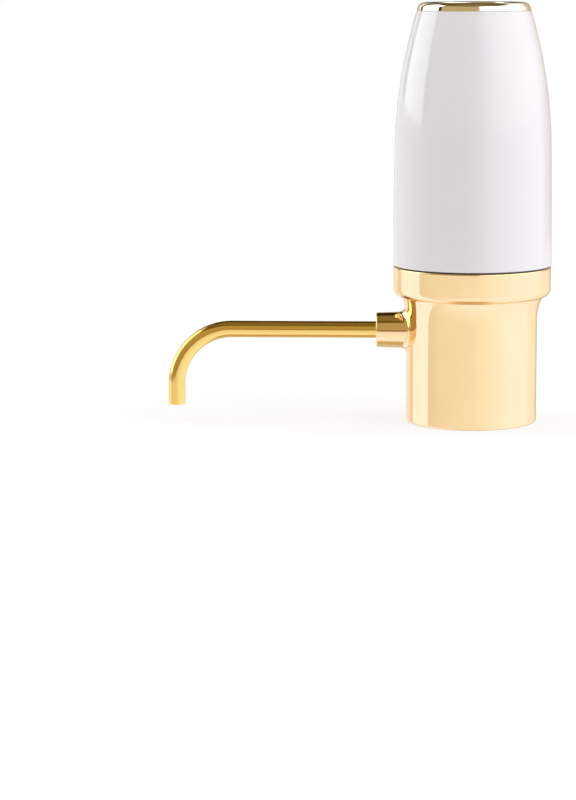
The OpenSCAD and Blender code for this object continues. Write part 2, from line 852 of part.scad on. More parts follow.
module charging_socket() {
    color(steel) {
        difference() {
            from_board(port_len, port_z) slot_section(port_w, port_h);
            translate([0, 1.4, 0]) from_board(port_len, port_z)
                slot_section(port_w - 2 * port_skin, port_h - 2 * port_skin);
        }
        translate([0, 1.3, 0]) from_board(port_len - 2, port_z) square([6.7, 0.7], center = true);
    }
}

module status_light() {
    light_len = shell_r(light_z) - board_y - board_t - 0.6;
    color(white) from_board(light_len, light_z) circle(light_r);
}

module switch_board() {
    color(green) post(switch_board_r, deck_top, deck_top + board_t);
}

module push_switch() {
    color(dark) difference() {
        translate([-switch_w / 2, -switch_w / 2, switch_top - switch_h]) cube([switch_w, switch_w, switch_h]);
        post(plunger_r + fit_gap, plunger_top - plunger_len - button_travel - 0.3, switch_top + 1);
    }
}

module switch_plunger() {
    color(rubber) post(plunger_r, plunger_top - plunger_len, plunger_top);
}

// Bridge over the switch that guides the button's stem and carries its spring
module button_guide() {
    color(dark) difference() {
        union() {
            post(guide_r, guide_top - guide_t, guide_top);
            spread(leg_angles, leg_pitch) post(leg_r, deck_top, guide_top - guide_t + eps);
            spread(leg_angles, leg_pitch) post(1, deck_top - deck_t, deck_top + eps);
        }
        post(stem_r + fit_gap, guide_top - guide_t - 1, guide_top + 1);
    }
}

// Coil of the return spring: a tube of six sides swept along a helix
spring_low = guide_top + spring_wire / 2 + 0.05;
spring_high = button_top - button_t - spring_wire / 2 - 0.05;
spring_r = 4.4;
spring_rings = 16;
spring_sides = 6;
spring_steps = spring_turns * spring_rings;
function spring_point(i) = let (a = 360 * i / spring_rings)
    [spring_r * cos(a), spring_r * sin(a), spring_low + (spring_high - spring_low) * i / spring_steps];
function spring_ring(i) = let (a = 360 * i / spring_rings, c = spring_point(i)) [
    for (k = [0 : spring_sides - 1]) let (b = 360 * k / spring_sides)
        c + spring_wire / 2 * [cos(b) * cos(a), cos(b) * sin(a), sin(b)]
];
spring_gap = min([for (i = [0 : spring_steps - spring_rings])
    norm(spring_point(i + spring_rings) - spring_point(i))]) - spring_wire;
echo(spring_least_gap = spring_gap);

module button_spring() {
    points = [for (i = [0 : spring_steps]) each spring_ring(i)];
    last = spring_steps * spring_sides;
    sides = [for (i = [0 : spring_steps - 1], k = [0 : spring_sides - 1])
        let (a = i * spring_sides + k, b = i * spring_sides + (k + 1) % spring_sides)
            each [[a, a + spring_sides, b], [b, a + spring_sides, b + spring_sides]]];
    ends = [for (k = [1 : spring_sides - 2]) each [[0, k, k + 1], [last, last + k + 1, last + k]]];
    color(steel) polyhedron(points, concat(sides, ends));
}

// Dished button: a cup with a stop flange and a stem that bears on the switch
module push_button() {
    dish_r = (button_r * button_r + button_dish * button_dish) / (2 * button_dish);
    low = button_flange_top - button_flange_t;
    color(gold) difference() {
        union() {
            rotate_extrude() block_section(button_r, low, button_top, 0, 0.6);
            post(button_flange_r, low, button_flange_top);
        }
        difference() {
            post(button_r - button_skirt_t, low - 1, button_top - button_t);
            post(stem_r, plunger_top, button_top);
        }
        translate([0, 0, button_top - button_dish + dish_r]) rotate([90, 0, 0]) sphere(dish_r, $fn = 240);
    }
    color(gold) post(stem_r, plunger_top, low + eps);
}

// Plated ring round the button, snapped into the shell's crown
module top_bezel() {
    inner_edge = 0.4;
    color(gold) difference() {
        union() {
            rotate_extrude() intersection() {
                translate(crown_c) circle(crown_r, $fn = 720);
                block_section(shell_r(bezel_top) + bezel_round / 2, shell_top, bezel_top, 0, bezel_round);
            }
            post(spigot_r, spigot_low, shell_top + eps);
            translate([0, 0, crown_low - 0.1 - bead_h]) cylinder(r1 = spigot_r, r2 = spigot_r + bead, h = bead_h);
        }
        post(bezel_bore, spigot_low - 1, bezel_top + 1);
        translate([0, 0, bezel_top - inner_edge]) cylinder(r1 = bezel_bore, r2 = bezel_bore + 2 * inner_edge, h = 2 * inner_edge);
    }
}

module shell_gasket() {
    color(rubber) ring(lip_r + 0.2, seat_r - gasket_inset, flange_top, shell_z);
}

// Section of the space inside the shell's outer face, moved inwards by inset
module shell_section(inset) {
    q0 = p0 + inset * inward;
    q1 = p1 + inset * inward;
    polygon([[0, q0.y], q0, q1, [0, q1.y]]);
    intersection() {
        translate(crown_c) circle(crown_r - inset, $fn = 720);
        translate([0, q1.y]) square([q1.x + 1, shell_top - q1.y]);
    }
}

module upper_shell() {
    color(white) difference() {
        union() {
            rotate_extrude() difference() {
                shell_section(0);
                intersection() {
                    shell_section(shell_wall);
                    translate([0, shell_z]) square([shell_base_d, crown_low - shell_z]);
                }
                translate([0, shell_z - eps]) square([p0.x - shell_wall, 1]);
                translate([0, crown_low - 1]) square([crown_hole, crown_t + 2]);
                translate([p0.x - shell_edge, shell_z - eps]) difference() {
                    square(shell_edge);
                    translate([-eps, shell_edge]) circle(shell_edge);
                }
            }
            ring(lip_r - lip_t, lip_r, shell_z - lip_drop, shell_z + lip_rise);
            ring(lip_r - lip_t, p0.x - shell_wall + 0.3, shell_z + 0.6, shell_z + lip_rise);
        }
        spread(shell_screw_angles, shell_screw_pitch) {
            post(shell_screw_r + fit_gap, crown_low - 1, shell_top + 1);
            post(shell_screw_head_r + fit_gap, shell_top - shell_screw_head_h, shell_top + 1);
        }
        from_board(20, port_z) slot_section(port_w + 2 * port_gap, port_h + 2 * port_gap);
        from_board(20, light_z) circle(light_r + fit_gap);
    }
}

module shell_screws() {
    color(steel) spread(shell_screw_angles, shell_screw_pitch)
        translate([0, 0, shell_top - shell_screw_head_h])
            screw(shell_screw_r, shell_screw_len, shell_screw_head_r, shell_screw_head_h - 0.1);
}

base_shell();
flow_core();
stopper();
dip_nipple();
spout_tube();
spout_o_rings();
aerator_disc();
air_check_valve();
air_hose();
chassis();
chassis_screws();
pump_cushion();
pump_head();
valve_plate();
valve_flap();
diaphragm();
diaphragm_seat();
pump_casing();
pump_screws();
wobble_plate();
crank_pin();
eccentric();
motor_shaft();
rotor_core();
motor_can();
motor_magnets();
motor_bushes();
motor_end_cap();
motor_terminals();
battery_cell();
battery_tabs();
control_board();
board_screws();
charging_socket();
status_light();
switch_board();
push_switch();
switch_plunger();
button_guide();
button_spring();
push_button();
top_bezel();
shell_gasket();
upper_shell();
shell_screws();
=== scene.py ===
import json
import math

import bpy
import numpy as np
from mathutils import Matrix, Vector


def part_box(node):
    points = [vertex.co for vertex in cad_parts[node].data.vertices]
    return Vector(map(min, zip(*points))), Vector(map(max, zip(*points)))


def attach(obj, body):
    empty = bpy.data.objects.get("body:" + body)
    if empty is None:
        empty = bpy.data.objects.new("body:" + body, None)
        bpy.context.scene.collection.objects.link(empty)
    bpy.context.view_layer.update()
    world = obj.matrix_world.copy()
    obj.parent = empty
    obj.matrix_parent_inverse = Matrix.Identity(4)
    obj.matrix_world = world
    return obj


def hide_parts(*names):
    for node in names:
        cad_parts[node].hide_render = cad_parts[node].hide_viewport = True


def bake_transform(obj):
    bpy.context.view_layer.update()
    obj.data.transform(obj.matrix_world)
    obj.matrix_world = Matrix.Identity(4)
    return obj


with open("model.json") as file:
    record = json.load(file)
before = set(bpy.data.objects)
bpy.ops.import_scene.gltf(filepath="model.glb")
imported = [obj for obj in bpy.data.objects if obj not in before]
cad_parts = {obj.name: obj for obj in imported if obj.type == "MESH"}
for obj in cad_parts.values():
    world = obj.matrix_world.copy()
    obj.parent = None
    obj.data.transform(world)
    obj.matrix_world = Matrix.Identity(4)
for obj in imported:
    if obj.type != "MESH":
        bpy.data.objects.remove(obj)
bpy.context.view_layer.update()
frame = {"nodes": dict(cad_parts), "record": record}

bl_info = {
    "name": "Electric Wine Aerator",
    "version": (1, 0, 0),
    "blender": (4, 5, 0),
    "location": "3D View > Sidebar > Aerator",
    "description": "Dresses the wine aerator: plated body, white shell, spout, top button and studio",
    "category": "Object",
}

MM = 0.001
COLUMNS = 180  # facets round a turned piece
QUARTER = math.pi / 2
BODY_LOW, BODY_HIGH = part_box("base_shell")
SHELL_LOW, SHELL_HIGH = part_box("upper_shell")
BEZEL_LOW, BEZEL_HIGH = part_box("top_bezel")
BUTTON_LOW, BUTTON_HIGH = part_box("push_button")
GUIDE_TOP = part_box("button_guide")[1].z
SPOUT_LOW, SPOUT_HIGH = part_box("spout_tube")
PORT_LOW, PORT_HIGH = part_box("charging_socket")
LIGHT_LOW, LIGHT_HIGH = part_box("status_light")


# ---------------------------------------------------------------- properties


def length(name, description, metres):
    """A length that a user may change, in metres."""
    return bpy.props.FloatProperty(
        name=name, description=description, default=metres, unit="LENGTH", subtype="DISTANCE", precision=5
    )


def tint(name, description, colour):
    """A linear colour that a user may change."""
    return bpy.props.FloatVectorProperty(
        name=name, description=description, default=colour, size=3, min=0.0, max=1.0, subtype="COLOR"
    )


def number(name, description, value, top):
    """A plain number that a user may change."""
    return bpy.props.FloatProperty(
        name=name, description=description, default=value, min=0.0, max=top, subtype="FACTOR"
    )


class LowerBodySizes(bpy.types.PropertyGroup):
    """Sizes of the plated lower body and its collar"""

    skirt_radius: length("Skirt radius", "Outer radius of the skirt", 23.25 * MM)
    wall: length("Wall", "Wall of the skirt and the flange", 2.2 * MM)
    rim_height: length("Rim height", "Height of the skirt's lower rim", BODY_LOW.z)
    rim_round: length("Rim round", "Rounding of the skirt's lower rim", 0.9 * MM)
    flange_radius: length("Flange radius", "Outer radius of the flange", BODY_HIGH.y)
    flange_low: length("Flange underside", "Height of the flange's underside", 22.5 * MM)
    flange_top: length("Flange top", "Height of the flange's top face", BODY_HIGH.z)
    flange_round: length("Flange round", "Rounding of the flange's lower corner", 3.0 * MM)
    flange_edge: length("Flange edge", "Rounding of the flange's upper edge", 0.5 * MM)
    sweep_radius: length("Sweep radius", "Hollow radius under the flange", 17.0 * MM)
    sweep_start: length("Sweep start", "Height where the hollow leaves the skirt", 14.5 * MM)
    ledge_low: length("Ledge underside", "Height of the inner ledge's underside", 17.2 * MM)
    ledge_top: length("Ledge top", "Height of the inner ledge's top", 19.6 * MM)
    ledge_hole: length("Ledge hole", "Radius of the hole in the inner ledge", 14.5 * MM)
    collar_radius: length("Collar radius", "Radius of the collar at its end", 6.2 * MM)
    collar_reach: length("Collar reach", "Distance of the collar's end from the axis", -BODY_LOW.x)
    collar_draft: length("Collar draft", "Growth of the collar's radius towards its root", 0.4 * MM)
    collar_fillet: length("Collar fillet", "Rounding between the collar and the skirt", 2.2 * MM)
    collar_edge: length("Collar edge", "Rounding of the collar's end", 0.5 * MM)
    bore_radius: length("Bore radius", "Radius of the spout's bore", 3.1 * MM)


class SpoutSizes(bpy.types.PropertyGroup):
    """Sizes of the bent spout tube"""

    radius: length("Tube radius", "Outer radius of the tube", SPOUT_HIGH.y)
    wall: length("Tube wall", "Wall of the tube", 0.6 * MM)
    height: length("Axis height", "Height of the level part's axis", SPOUT_HIGH.z - SPOUT_HIGH.y)
    start: length("Inner end", "Distance of the inner end from the axis", -SPOUT_HIGH.x)
    reach: length("Reach", "Distance of the outlet's axis from the body's axis", -SPOUT_LOW.x - SPOUT_HIGH.y)
    drop: length("Drop", "Distance of the outlet below the level part's axis",
                 SPOUT_HIGH.z - SPOUT_HIGH.y - SPOUT_LOW.z)
    bend: length("Bend radius", "Radius of the bend on the tube's axis", 20.0 * MM)
    lip: length("Lip", "Rounding of the tube's ends", 0.2 * MM)


class ShellSizes(bpy.types.PropertyGroup):
    """Sizes of the white shell"""

    base_radius: length("Base radius", "Outer radius at the shell's lower edge", SHELL_HIGH.x)
    base_height: length("Base height", "Height of the shell's lower edge", 33.8 * MM)
    shoulder_radius: length("Shoulder radius", "Outer radius where the crown's arc starts", 27.65 * MM)
    shoulder_height: length("Shoulder height", "Height where the crown's arc starts", 75.1 * MM)
    top_radius: length("Top radius", "Outer radius at the shell's top", BEZEL_HIGH.x)
    top_height: length("Top height", "Height of the shell's top", SHELL_HIGH.z)
    wall: length("Shell wall", "Wall of the shell", 2.2 * MM)
    edge: length("Lower edge", "Rounding of the shell's lower edge", 0.3 * MM)
    crown_low: length("Crown underside", "Height of the crown's underside", 120.2 * MM)
    crown_hole: length("Crown hole", "Radius of the hole in the crown", 14.4 * MM)
    lip_radius: length("Lip radius", "Outer radius of the lip inside the flange", 25.7 * MM)
    lip_wall: length("Lip wall", "Wall of the lip", 1.7 * MM)
    lip_low: length("Lip low end", "Height of the lip's lower end", SHELL_LOW.z)
    lip_high: length("Lip high end", "Height of the lip's upper end", 37.1 * MM)
    slot_gap: length("Slot gap", "Gap round the charging socket", 0.3 * MM)
    light_gap: length("Light gap", "Gap round the status light", 0.15 * MM)
    port_edge: length("Port edge", "Rounding of the slot and the light's hole", 0.3 * MM)


class TopSizes(bpy.types.PropertyGroup):
    """Sizes of the bezel and the button"""

    bezel_top: length("Bezel top", "Height of the bezel's top", BEZEL_HIGH.z)
    bezel_round: length("Bezel round", "Rounding of the bezel's upper edge", 2.0 * MM)
    bezel_bore: length("Bezel bore", "Radius of the bezel's bore", 12.5 * MM)
    spigot_radius: length("Spigot radius", "Radius of the bezel's spigot", 14.25 * MM)
    spigot_low: length("Spigot low end", "Height of the spigot's lower end", BEZEL_LOW.z)
    snap_bead: length("Snap bead", "Height of the bead that holds the bezel", 0.4 * MM)
    button_radius: length("Button radius", "Radius of the button", 12.3 * MM)
    button_top: length("Button top", "Height of the button's rim", BUTTON_HIGH.z)
    button_dish: length("Button dish", "Depth of the button's hollow top", 0.6 * MM)
    button_edge: length("Button edge", "Rounding of the button's upper edge", 0.6 * MM)
    button_low: length("Button low end", "Height of the button's lower end", 116.2 * MM)
    stem_low: length("Stem low end", "Height of the stem's lower end", BUTTON_LOW.z)
    button_wall: length("Button wall", "Thickness of the button's roof", 1.8 * MM)
    spring_radius: length("Spring radius", "Radius of the return spring's coil", 4.4 * MM)
    spring_wire: length("Spring wire", "Radius of the return spring's wire", 0.4 * MM)
    spring_turns: number("Spring turns", "Turns of the return spring", 5.0, 8.0)


class Finishes(bpy.types.PropertyGroup):
    """Colours of the finishes"""

    plating: tint("Gold plating", "Mirror plating of the lower body", (0.909, 0.662, 0.345))
    top_plating: tint("Top plating", "Paler plating of the bezel and the button", (0.92, 0.845, 0.68))
    tube: tint("Tube gold", "Drawn gold tube of the spout", (0.88, 0.605, 0.18))
    shell: tint("White shell", "Glossy white moulding", (0.808, 0.787, 0.801))


class StudioSettings(bpy.types.PropertyGroup):
    """Light and camera"""

    ambient: number("Ambient", "Even light from all round", 0.72, 4.0)
    key: number("Key light", "Strength of the soft light on the right", 1.25, 20.0)
    fill: number("Fill light", "Strength of the soft light on the left", 0.88, 20.0)
    lens: bpy.props.FloatProperty(
        name="Lens", description="Focal length of the camera", default=126.6975, unit="CAMERA"
    )
    camera_height: length("Camera height", "Height of the camera", 144.6 * MM)
    camera_distance: length("Camera distance", "Distance of the camera from the body's axis", 998.4 * MM)


SIZE_GROUPS = {
    "aerator_body": LowerBodySizes,
    "aerator_spout": SpoutSizes,
    "aerator_shell": ShellSizes,
    "aerator_top": TopSizes,
    "aerator_finish": Finishes,
    "aerator_studio": StudioSettings,
}


# ---------------------------------------------------------------- turned meshes


class Section:
    """Rows of a turned section: radius, height and the two parts of the outward normal"""

    def __init__(self):
        self.rows = []

    def add(self, points):
        """Adds points, leaves out a repeated one and returns the last row's number."""
        for point in points:
            if not self.rows or math.dist(point[:2], self.rows[-1][:2]) > 1e-8:
                self.rows.append(tuple(point))
        return len(self.rows) - 1

    def arc(self, centre, radius, start, end, steps=5):
        """An arc between two angles in degrees; a falling angle makes it hollow."""
        turn = 1 if end > start else -1
        angles = np.radians(np.linspace(start, end, steps + 1))
        return self.add(
            (centre[0] + radius * math.cos(a), centre[1] + radius * math.sin(a), turn * math.cos(a), turn * math.sin(a))
            for a in angles
        )

    def line(self, start, end, steps=1):
        """A straight run, with its outside on the right of the way it goes."""
        way = np.subtract(end, start) / math.dist(start, end)
        return self.add((*(np.array(start) + t * np.subtract(end, start)), way[1], -way[0])
                        for t in np.linspace(0, 1, steps + 1))


class Window:
    """A hole through two walls of a turned piece: strips of faces join the two walls' grids"""

    def __init__(self, outer, inner, first, last, strip):
        self.outer, self.inner = list(outer), list(inner)
        self.first, self.last, self.strip = first, last, strip

    def loop(self):
        """The hole's border as (row step, column), anticlockwise from outside."""
        top = len(self.outer) - 1
        yield from ((0, c) for c in range(self.first, self.last))
        yield from ((s, self.last) for s in range(top))
        yield from ((top, c) for c in range(self.last, self.first, -1))
        yield from ((s, self.first) for s in range(top, 0, -1))

    def covers(self):
        """The grid's faces that the hole takes away."""
        for rows in (self.outer, self.inner):
            for row in range(min(rows), max(rows)):
                for column in range(self.first, self.last):
                    yield row, column


def turned_mesh(name, rows, windows=(), closed=True):
    """A mesh turned about Z from a section, with exact normals and any windows through it."""
    verts, normals, faces = [], [], []
    grid = np.zeros((len(rows), COLUMNS), int)
    for i, (r, z, nr, nz) in enumerate(rows):
        for j in range(COLUMNS):
            if r < 1e-9 and j:
                grid[i, j] = grid[i, 0]
                continue
            a = 2 * math.pi * j / COLUMNS
            grid[i, j] = len(verts)
            verts.append((r * math.cos(a), r * math.sin(a), z))
            normals.append((nr * math.cos(a), nr * math.sin(a), nz) if r > 1e-9 else (0, 0, nz))
    taken = {face for window in windows for face in window.covers()}
    for i in range(len(rows) if closed else len(rows) - 1):
        for j in range(COLUMNS):
            if (i, j) in taken:
                continue
            k, n = (i + 1) % len(rows), (j + 1) % COLUMNS
            faces.append(tuple(dict.fromkeys(int(v) for v in (grid[i, j], grid[i, n], grid[k, n], grid[k, j]))))
    for window in windows:
        strips = []
        for step, column in window.loop():
            start, end = int(grid[window.outer[step], column]), int(grid[window.inner[step], column])
            ids = [start]
            for point, normal in window.strip(np.array(verts[start]), np.array(verts[end])):
                ids.append(len(verts))
                verts.append(tuple(point))
                normals.append(tuple(normal))
            strips.append(ids + [end])
        for a, b in zip(strips, strips[1:] + strips[:1]):
            faces.extend((a[k], b[k], b[k + 1], a[k + 1]) for k in range(len(a) - 1))
    mesh = bpy.data.meshes.new(name)
    mesh.from_pydata(verts, [], faces)
    mesh.update()
    mesh.shade_smooth()
    mesh.normals_split_custom_set_from_vertices([Vector(n).normalized() for n in normals])
    return mesh


def place(mesh, body, slot, material, *nodes):
    """Puts a finished mesh into the scene on its body, if it has one of its own, in place of CAD nodes."""
    piece = bpy.data.objects.new(mesh.name, mesh)
    bpy.context.scene.collection.objects.link(piece)
    if not mesh.materials:
        mesh.materials.append(material)
    if body:
        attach(piece, body)
    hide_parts(*nodes)
    return piece


# ---------------------------------------------------------------- materials


class Finish:
    """A procedural material round one Principled shader"""

    def __init__(self, name, colour, roughness, metallic=0.0, **inputs):
        self.material = bpy.data.materials.new(name)
        self.material.use_nodes = True
        self.material.diffuse_color = (*colour, 1)
        self.tree = self.material.node_tree
        self.shader = self.tree.nodes["Principled BSDF"]
        self.colour = tuple(colour)
        self.set("Base Color", (*colour, 1))
        self.set("Roughness", roughness)
        self.set("Metallic", metallic)
        for socket, value in inputs.items():
            self.set(socket.replace("_", " "), value)
        self.place = self.node("ShaderNodeTexCoord").outputs["Object"]

    def node(self, kind, **values):
        made = self.tree.nodes.new(kind)
        for key, value in values.items():
            setattr(made, key, value)
        return made

    def link(self, source, target):
        self.tree.links.new(source, target)

    def set(self, socket, value):
        self.shader.inputs[socket].default_value = value

    def noise(self, scale, detail=2.0, stretch=None, vector=None):
        """A noise pattern in object space; scale is per metre."""
        source = vector or self.place
        if stretch:
            mapping = self.node("ShaderNodeMapping")
            mapping.inputs["Scale"].default_value = stretch
            self.link(source, mapping.inputs["Vector"])
            source = mapping.outputs["Vector"]
        noise = self.node("ShaderNodeTexNoise")
        noise.inputs["Scale"].default_value = scale
        noise.inputs["Detail"].default_value = detail
        self.link(source, noise.inputs["Vector"])
        return noise.outputs["Fac"]

    def span(self, value, low, high, start=0.3, end=0.7):
        """A pattern brought to the range from low to high."""
        remap = self.node("ShaderNodeMapRange")
        for socket, number in zip(("From Min", "From Max", "To Min", "To Max"), (start, end, low, high)):
            remap.inputs[socket].default_value = number
        self.link(value, remap.inputs["Value"])
        return remap.outputs["Result"]

    def vary_colour(self, value, dark=0.94, light=1.0):
        """Base colour between two shades of the finish's own colour, by a pattern."""
        ramp = self.node("ShaderNodeValToRGB")
        for stop, factor, at in zip(ramp.color_ramp.elements, (dark, light), (0.3, 0.7)):
            stop.position = at
            stop.color = (*(min(1.0, c * factor) for c in self.colour), 1)
        self.link(value, ramp.inputs["Fac"])
        self.link(ramp.outputs["Color"], self.shader.inputs["Base Color"])
        return self

    def vary_roughness(self, value, low, high):
        """Roughness between two levels, by a pattern."""
        self.link(self.span(value, low, high), self.shader.inputs["Roughness"])
        return self

    def relief(self, value, strength, distance):
        """Fine relief from a pattern; distance in metres."""
        bump = self.node("ShaderNodeBump")
        bump.inputs["Strength"].default_value = strength
        bump.inputs["Distance"].default_value = distance
        self.link(value, bump.inputs["Height"])
        self.link(bump.outputs["Normal"], self.shader.inputs["Normal"])
        return self


def mirror_plating(name, colour):
    """Bright plating: wiped-on smears in the gloss and a faint swell in the moulding under it."""
    gold = Finish(name, colour, 0.04, 1.0, Coat_Weight=0.3, Coat_Roughness=0.02)
    gold.set("Specular Tint", (1.0, 0.92, 0.8, 1.0))
    gold.vary_colour(gold.noise(70, 3.0), 0.97, 1.0)
    gold.vary_roughness(gold.noise(160, 4.0, (1, 1, 0.35)), 0.018, 0.05)
    return gold.relief(gold.noise(45, 1.0), 0.02, 0.2 * MM).material


def spun_plating(colour):
    """The same plating over a face turned in fine rings."""
    gold = Finish("spun_plating", colour, 0.3, 0.7)
    flat = gold.node("ShaderNodeVectorMath", operation="MULTIPLY")
    flat.inputs[1].default_value = (1, 1, 0)
    gold.link(gold.place, flat.inputs[0])
    away = gold.node("ShaderNodeVectorMath", operation="LENGTH")
    gold.link(flat.outputs[0], away.inputs[0])
    spot = gold.node("ShaderNodeCombineXYZ")
    gold.link(away.outputs["Value"], spot.inputs["X"])
    rings = gold.noise(4200, 3.0, None, spot.outputs[0])
    gold.vary_colour(rings, 0.93, 1.0)
    gold.vary_roughness(rings, 0.22, 0.36)
    return gold.relief(rings, 0.2, 0.03 * MM).material


def drawn_gold(colour):
    """Plated tube with fine lines drawn along it."""
    gold = Finish("drawn_gold", colour, 0.16, 1.0)
    section = gold.node("ShaderNodeAttribute", attribute_name="section").outputs["Vector"]
    along = gold.node("ShaderNodeAttribute", attribute_name="along").outputs["Fac"]
    slow = gold.node("ShaderNodeMath", operation="MULTIPLY")
    slow.inputs[1].default_value = 0.02
    gold.link(along, slow.inputs[0])
    point = gold.node("ShaderNodeCombineXYZ")
    gold.link(slow.outputs[0], point.inputs["Z"])
    add = gold.node("ShaderNodeVectorMath", operation="ADD")
    gold.link(section, add.inputs[0])
    gold.link(point.outputs[0], add.inputs[1])
    lines = gold.noise(2600, 3.0, None, add.outputs[0])
    gold.vary_colour(lines, 0.93, 1.0)
    gold.vary_roughness(lines, 0.10, 0.18)
    return gold.relief(lines, 0.05, 0.03 * MM).material


def gloss_white(colour):
    """Glossy white moulding with a faint swell and soft mottling."""
    white = Finish("gloss_white", colour, 0.14, IOR=1.5, Coat_Weight=0.4, Coat_Roughness=0.04)
    white.vary_colour(white.noise(55, 3.0), 0.985, 1.0)
    white.vary_roughness(white.noise(140, 4.0), 0.12, 0.2)
    return white.relief(white.noise(420, 1.0), 0.04, 0.05 * MM).material


# Finishes of the inner pieces: colour, roughness, metallic, grain per metre, relief strength
INNER_FINISHES = {
    "dark_plastic": ((0.022, 0.022, 0.025), 0.45, 0.0, 1800, 0.25),
    "steel": ((0.56, 0.57, 0.58), 0.26, 1.0, 900, 0.08),
    "spring_steel": ((0.5, 0.51, 0.53), 0.22, 1.0, 900, 0.05),
    "silicone": ((0.66, 0.66, 0.63), 0.5, 0.0, 700, 0.15),
    "black_rubber": ((0.018, 0.018, 0.019), 0.6, 0.0, 1600, 0.3),
    # The gasket is dark rubber, and its brown tint is painted shade, so that the joint between shell and flange reads
    # as a shaded gap
    "gasket_shade_rubber": ((0.035, 0.024, 0.012), 0.35, 0.0, 1600, 0.15),
    "copper": ((0.72, 0.36, 0.17), 0.3, 1.0, 1500, 0.15),
    "ferrite": ((0.05, 0.05, 0.055), 0.7, 0.0, 2200, 0.4),
    "nylon": ((0.62, 0.6, 0.54), 0.4, 0.0, 900, 0.12),
    "cell_sleeve": ((0.03, 0.12, 0.34), 0.3, 0.0, 300, 0.06),
    "board_green": ((0.012, 0.10, 0.035), 0.32, 0.0, 1200, 0.1),
    "light_pipe": ((0.72, 0.76, 0.78), 0.12, 0.0, 600, 0.04),
}


def inner_finish(slot):
    """The finish of an inner piece's slot: mottled colour, uneven gloss and fine grain."""
    colour, roughness, metallic, grain, relief = INNER_FINISHES[slot]
    made = Finish(slot, colour, roughness, metallic)
    made.vary_colour(made.noise(grain * 0.25, 3.0), 0.82, 1.06)
    made.vary_roughness(made.noise(grain * 0.4, 3.0), roughness * 0.8, min(1.0, roughness * 1.2))
    return made.relief(made.noise(grain, 2.0), relief, 0.05 * MM).material


# ---------------------------------------------------------------- lower body


def body_radius(s, z):
    """Outer radius of the skirt and the hollow above it."""
    if z <= s.sweep_start:
        return s.skirt_radius
    return s.skirt_radius + s.sweep_radius - math.sqrt(s.sweep_radius**2 - (z - s.sweep_start) ** 2)


def body_point(s, turn, z):
    """A point on the skirt or hollow and its normal; turn is measured from the collar's side."""
    r = body_radius(s, z)
    nr, nz = 1.0, 0.0
    if z > s.sweep_start:
        nr = (s.skirt_radius + s.sweep_radius - r) / s.sweep_radius
        nz = (s.sweep_start - z) / s.sweep_radius
    way = np.array((-math.cos(turn), math.sin(turn), 0.0))
    return r * way + (0, 0, z), nr * way + (0, 0, nz)


def clearance(s, point):
    """Distance of a point from the skirt and hollow, and the nearest point's height."""
    r, z = math.hypot(point[0], point[1]), point[2]
    if z <= s.sweep_start:
        return r - s.skirt_radius, z
    dr, dz = r - s.skirt_radius - s.sweep_radius, z - s.sweep_start
    far = math.hypot(dr, dz)
    return s.sweep_radius - far, s.sweep_start + s.sweep_radius * dz / far


def collar_strip(s, axis_height, start, end):
    """Points from the skirt over the rolled fillet, along the collar, round its end and back through the bore."""
    angle = math.atan2(start[2] - axis_height, start[1])
    spoke = np.array((0.0, math.cos(angle), math.sin(angle)))
    outward = np.array((-1.0, 0.0, 0.0))
    axis = np.array((0.0, 0.0, axis_height))
    inner = s.skirt_radius - s.wall
    run = s.collar_reach - s.collar_edge - inner
    side = spoke + outward * s.collar_draft / run
    side /= np.linalg.norm(side)

    def on_collar(reach):
        radius = s.collar_radius + s.collar_draft * (s.collar_reach - s.collar_edge - reach) / run
        return axis + outward * reach + spoke * radius

    near, far = s.skirt_radius * 0.5, s.collar_reach
    for _ in range(48):
        middle = (near + far) / 2
        gap = clearance(s, on_collar(middle) + side * s.collar_fillet)[0]
        near, far = (near, middle) if gap > s.collar_fillet else (middle, far)
    root = (near + far) / 2
    ball = on_collar(root) + side * s.collar_fillet
    touch_z = clearance(s, ball)[1]
    touch_turn = math.atan2(ball[1], -ball[0])
    start_turn = math.atan2(start[1], -start[0])
    for t in np.linspace(0, 1, 9)[1:-1]:
        ease = 1 - (1 - t) ** 1.4
        yield body_point(s, start_turn + (touch_turn - start_turn) * ease, start[2] + (touch_z - start[2]) * ease)
    first = body_point(s, touch_turn, touch_z)[1]
    swing = math.acos(max(-1.0, min(1.0, float(first @ side))))
    for t in np.linspace(0, 1, 13):
        normal = (math.sin((1 - t) * swing) * first + math.sin(t * swing) * side) / math.sin(swing)
        yield ball - normal * s.collar_fillet, normal
    for reach in np.linspace(root, s.collar_reach - s.collar_edge, 4)[1:-1]:
        yield on_collar(reach), side
    centre = axis + outward * (s.collar_reach - s.collar_edge) + spoke * (s.collar_radius - s.collar_edge)
    for a in np.linspace(0, QUARTER, 7):
        normal = math.cos(a) * spoke + math.sin(a) * outward
        yield centre + normal * s.collar_edge, normal
    lip = 0.15 * MM
    centre = axis + outward * (s.collar_reach - lip) + spoke * (s.bore_radius + lip)
    for a in np.linspace(0, QUARTER, 5):
        normal = math.cos(a) * outward - math.sin(a) * spoke
        yield centre + normal * lip, normal

    def on_inner(y, z):
        point = np.array((-math.sqrt(inner**2 - y**2), y, z))
        return point, np.array((-point[0], -y, 0.0)) / inner

    tiny = 0.03 * MM
    bore_end = on_inner(*(axis + spoke * s.bore_radius)[1:])[0][0] - tiny
    for x in np.linspace(lip - s.collar_reach, bore_end, 4)[1:]:
        yield axis + spoke * s.bore_radius + (x, 0, 0), -spoke
    ring = (axis + spoke * (s.bore_radius + tiny))[1:]
    for t in np.linspace(0, 1, 6)[:-1]:
        yield on_inner(*(ring + (end[1:] - ring) * t))


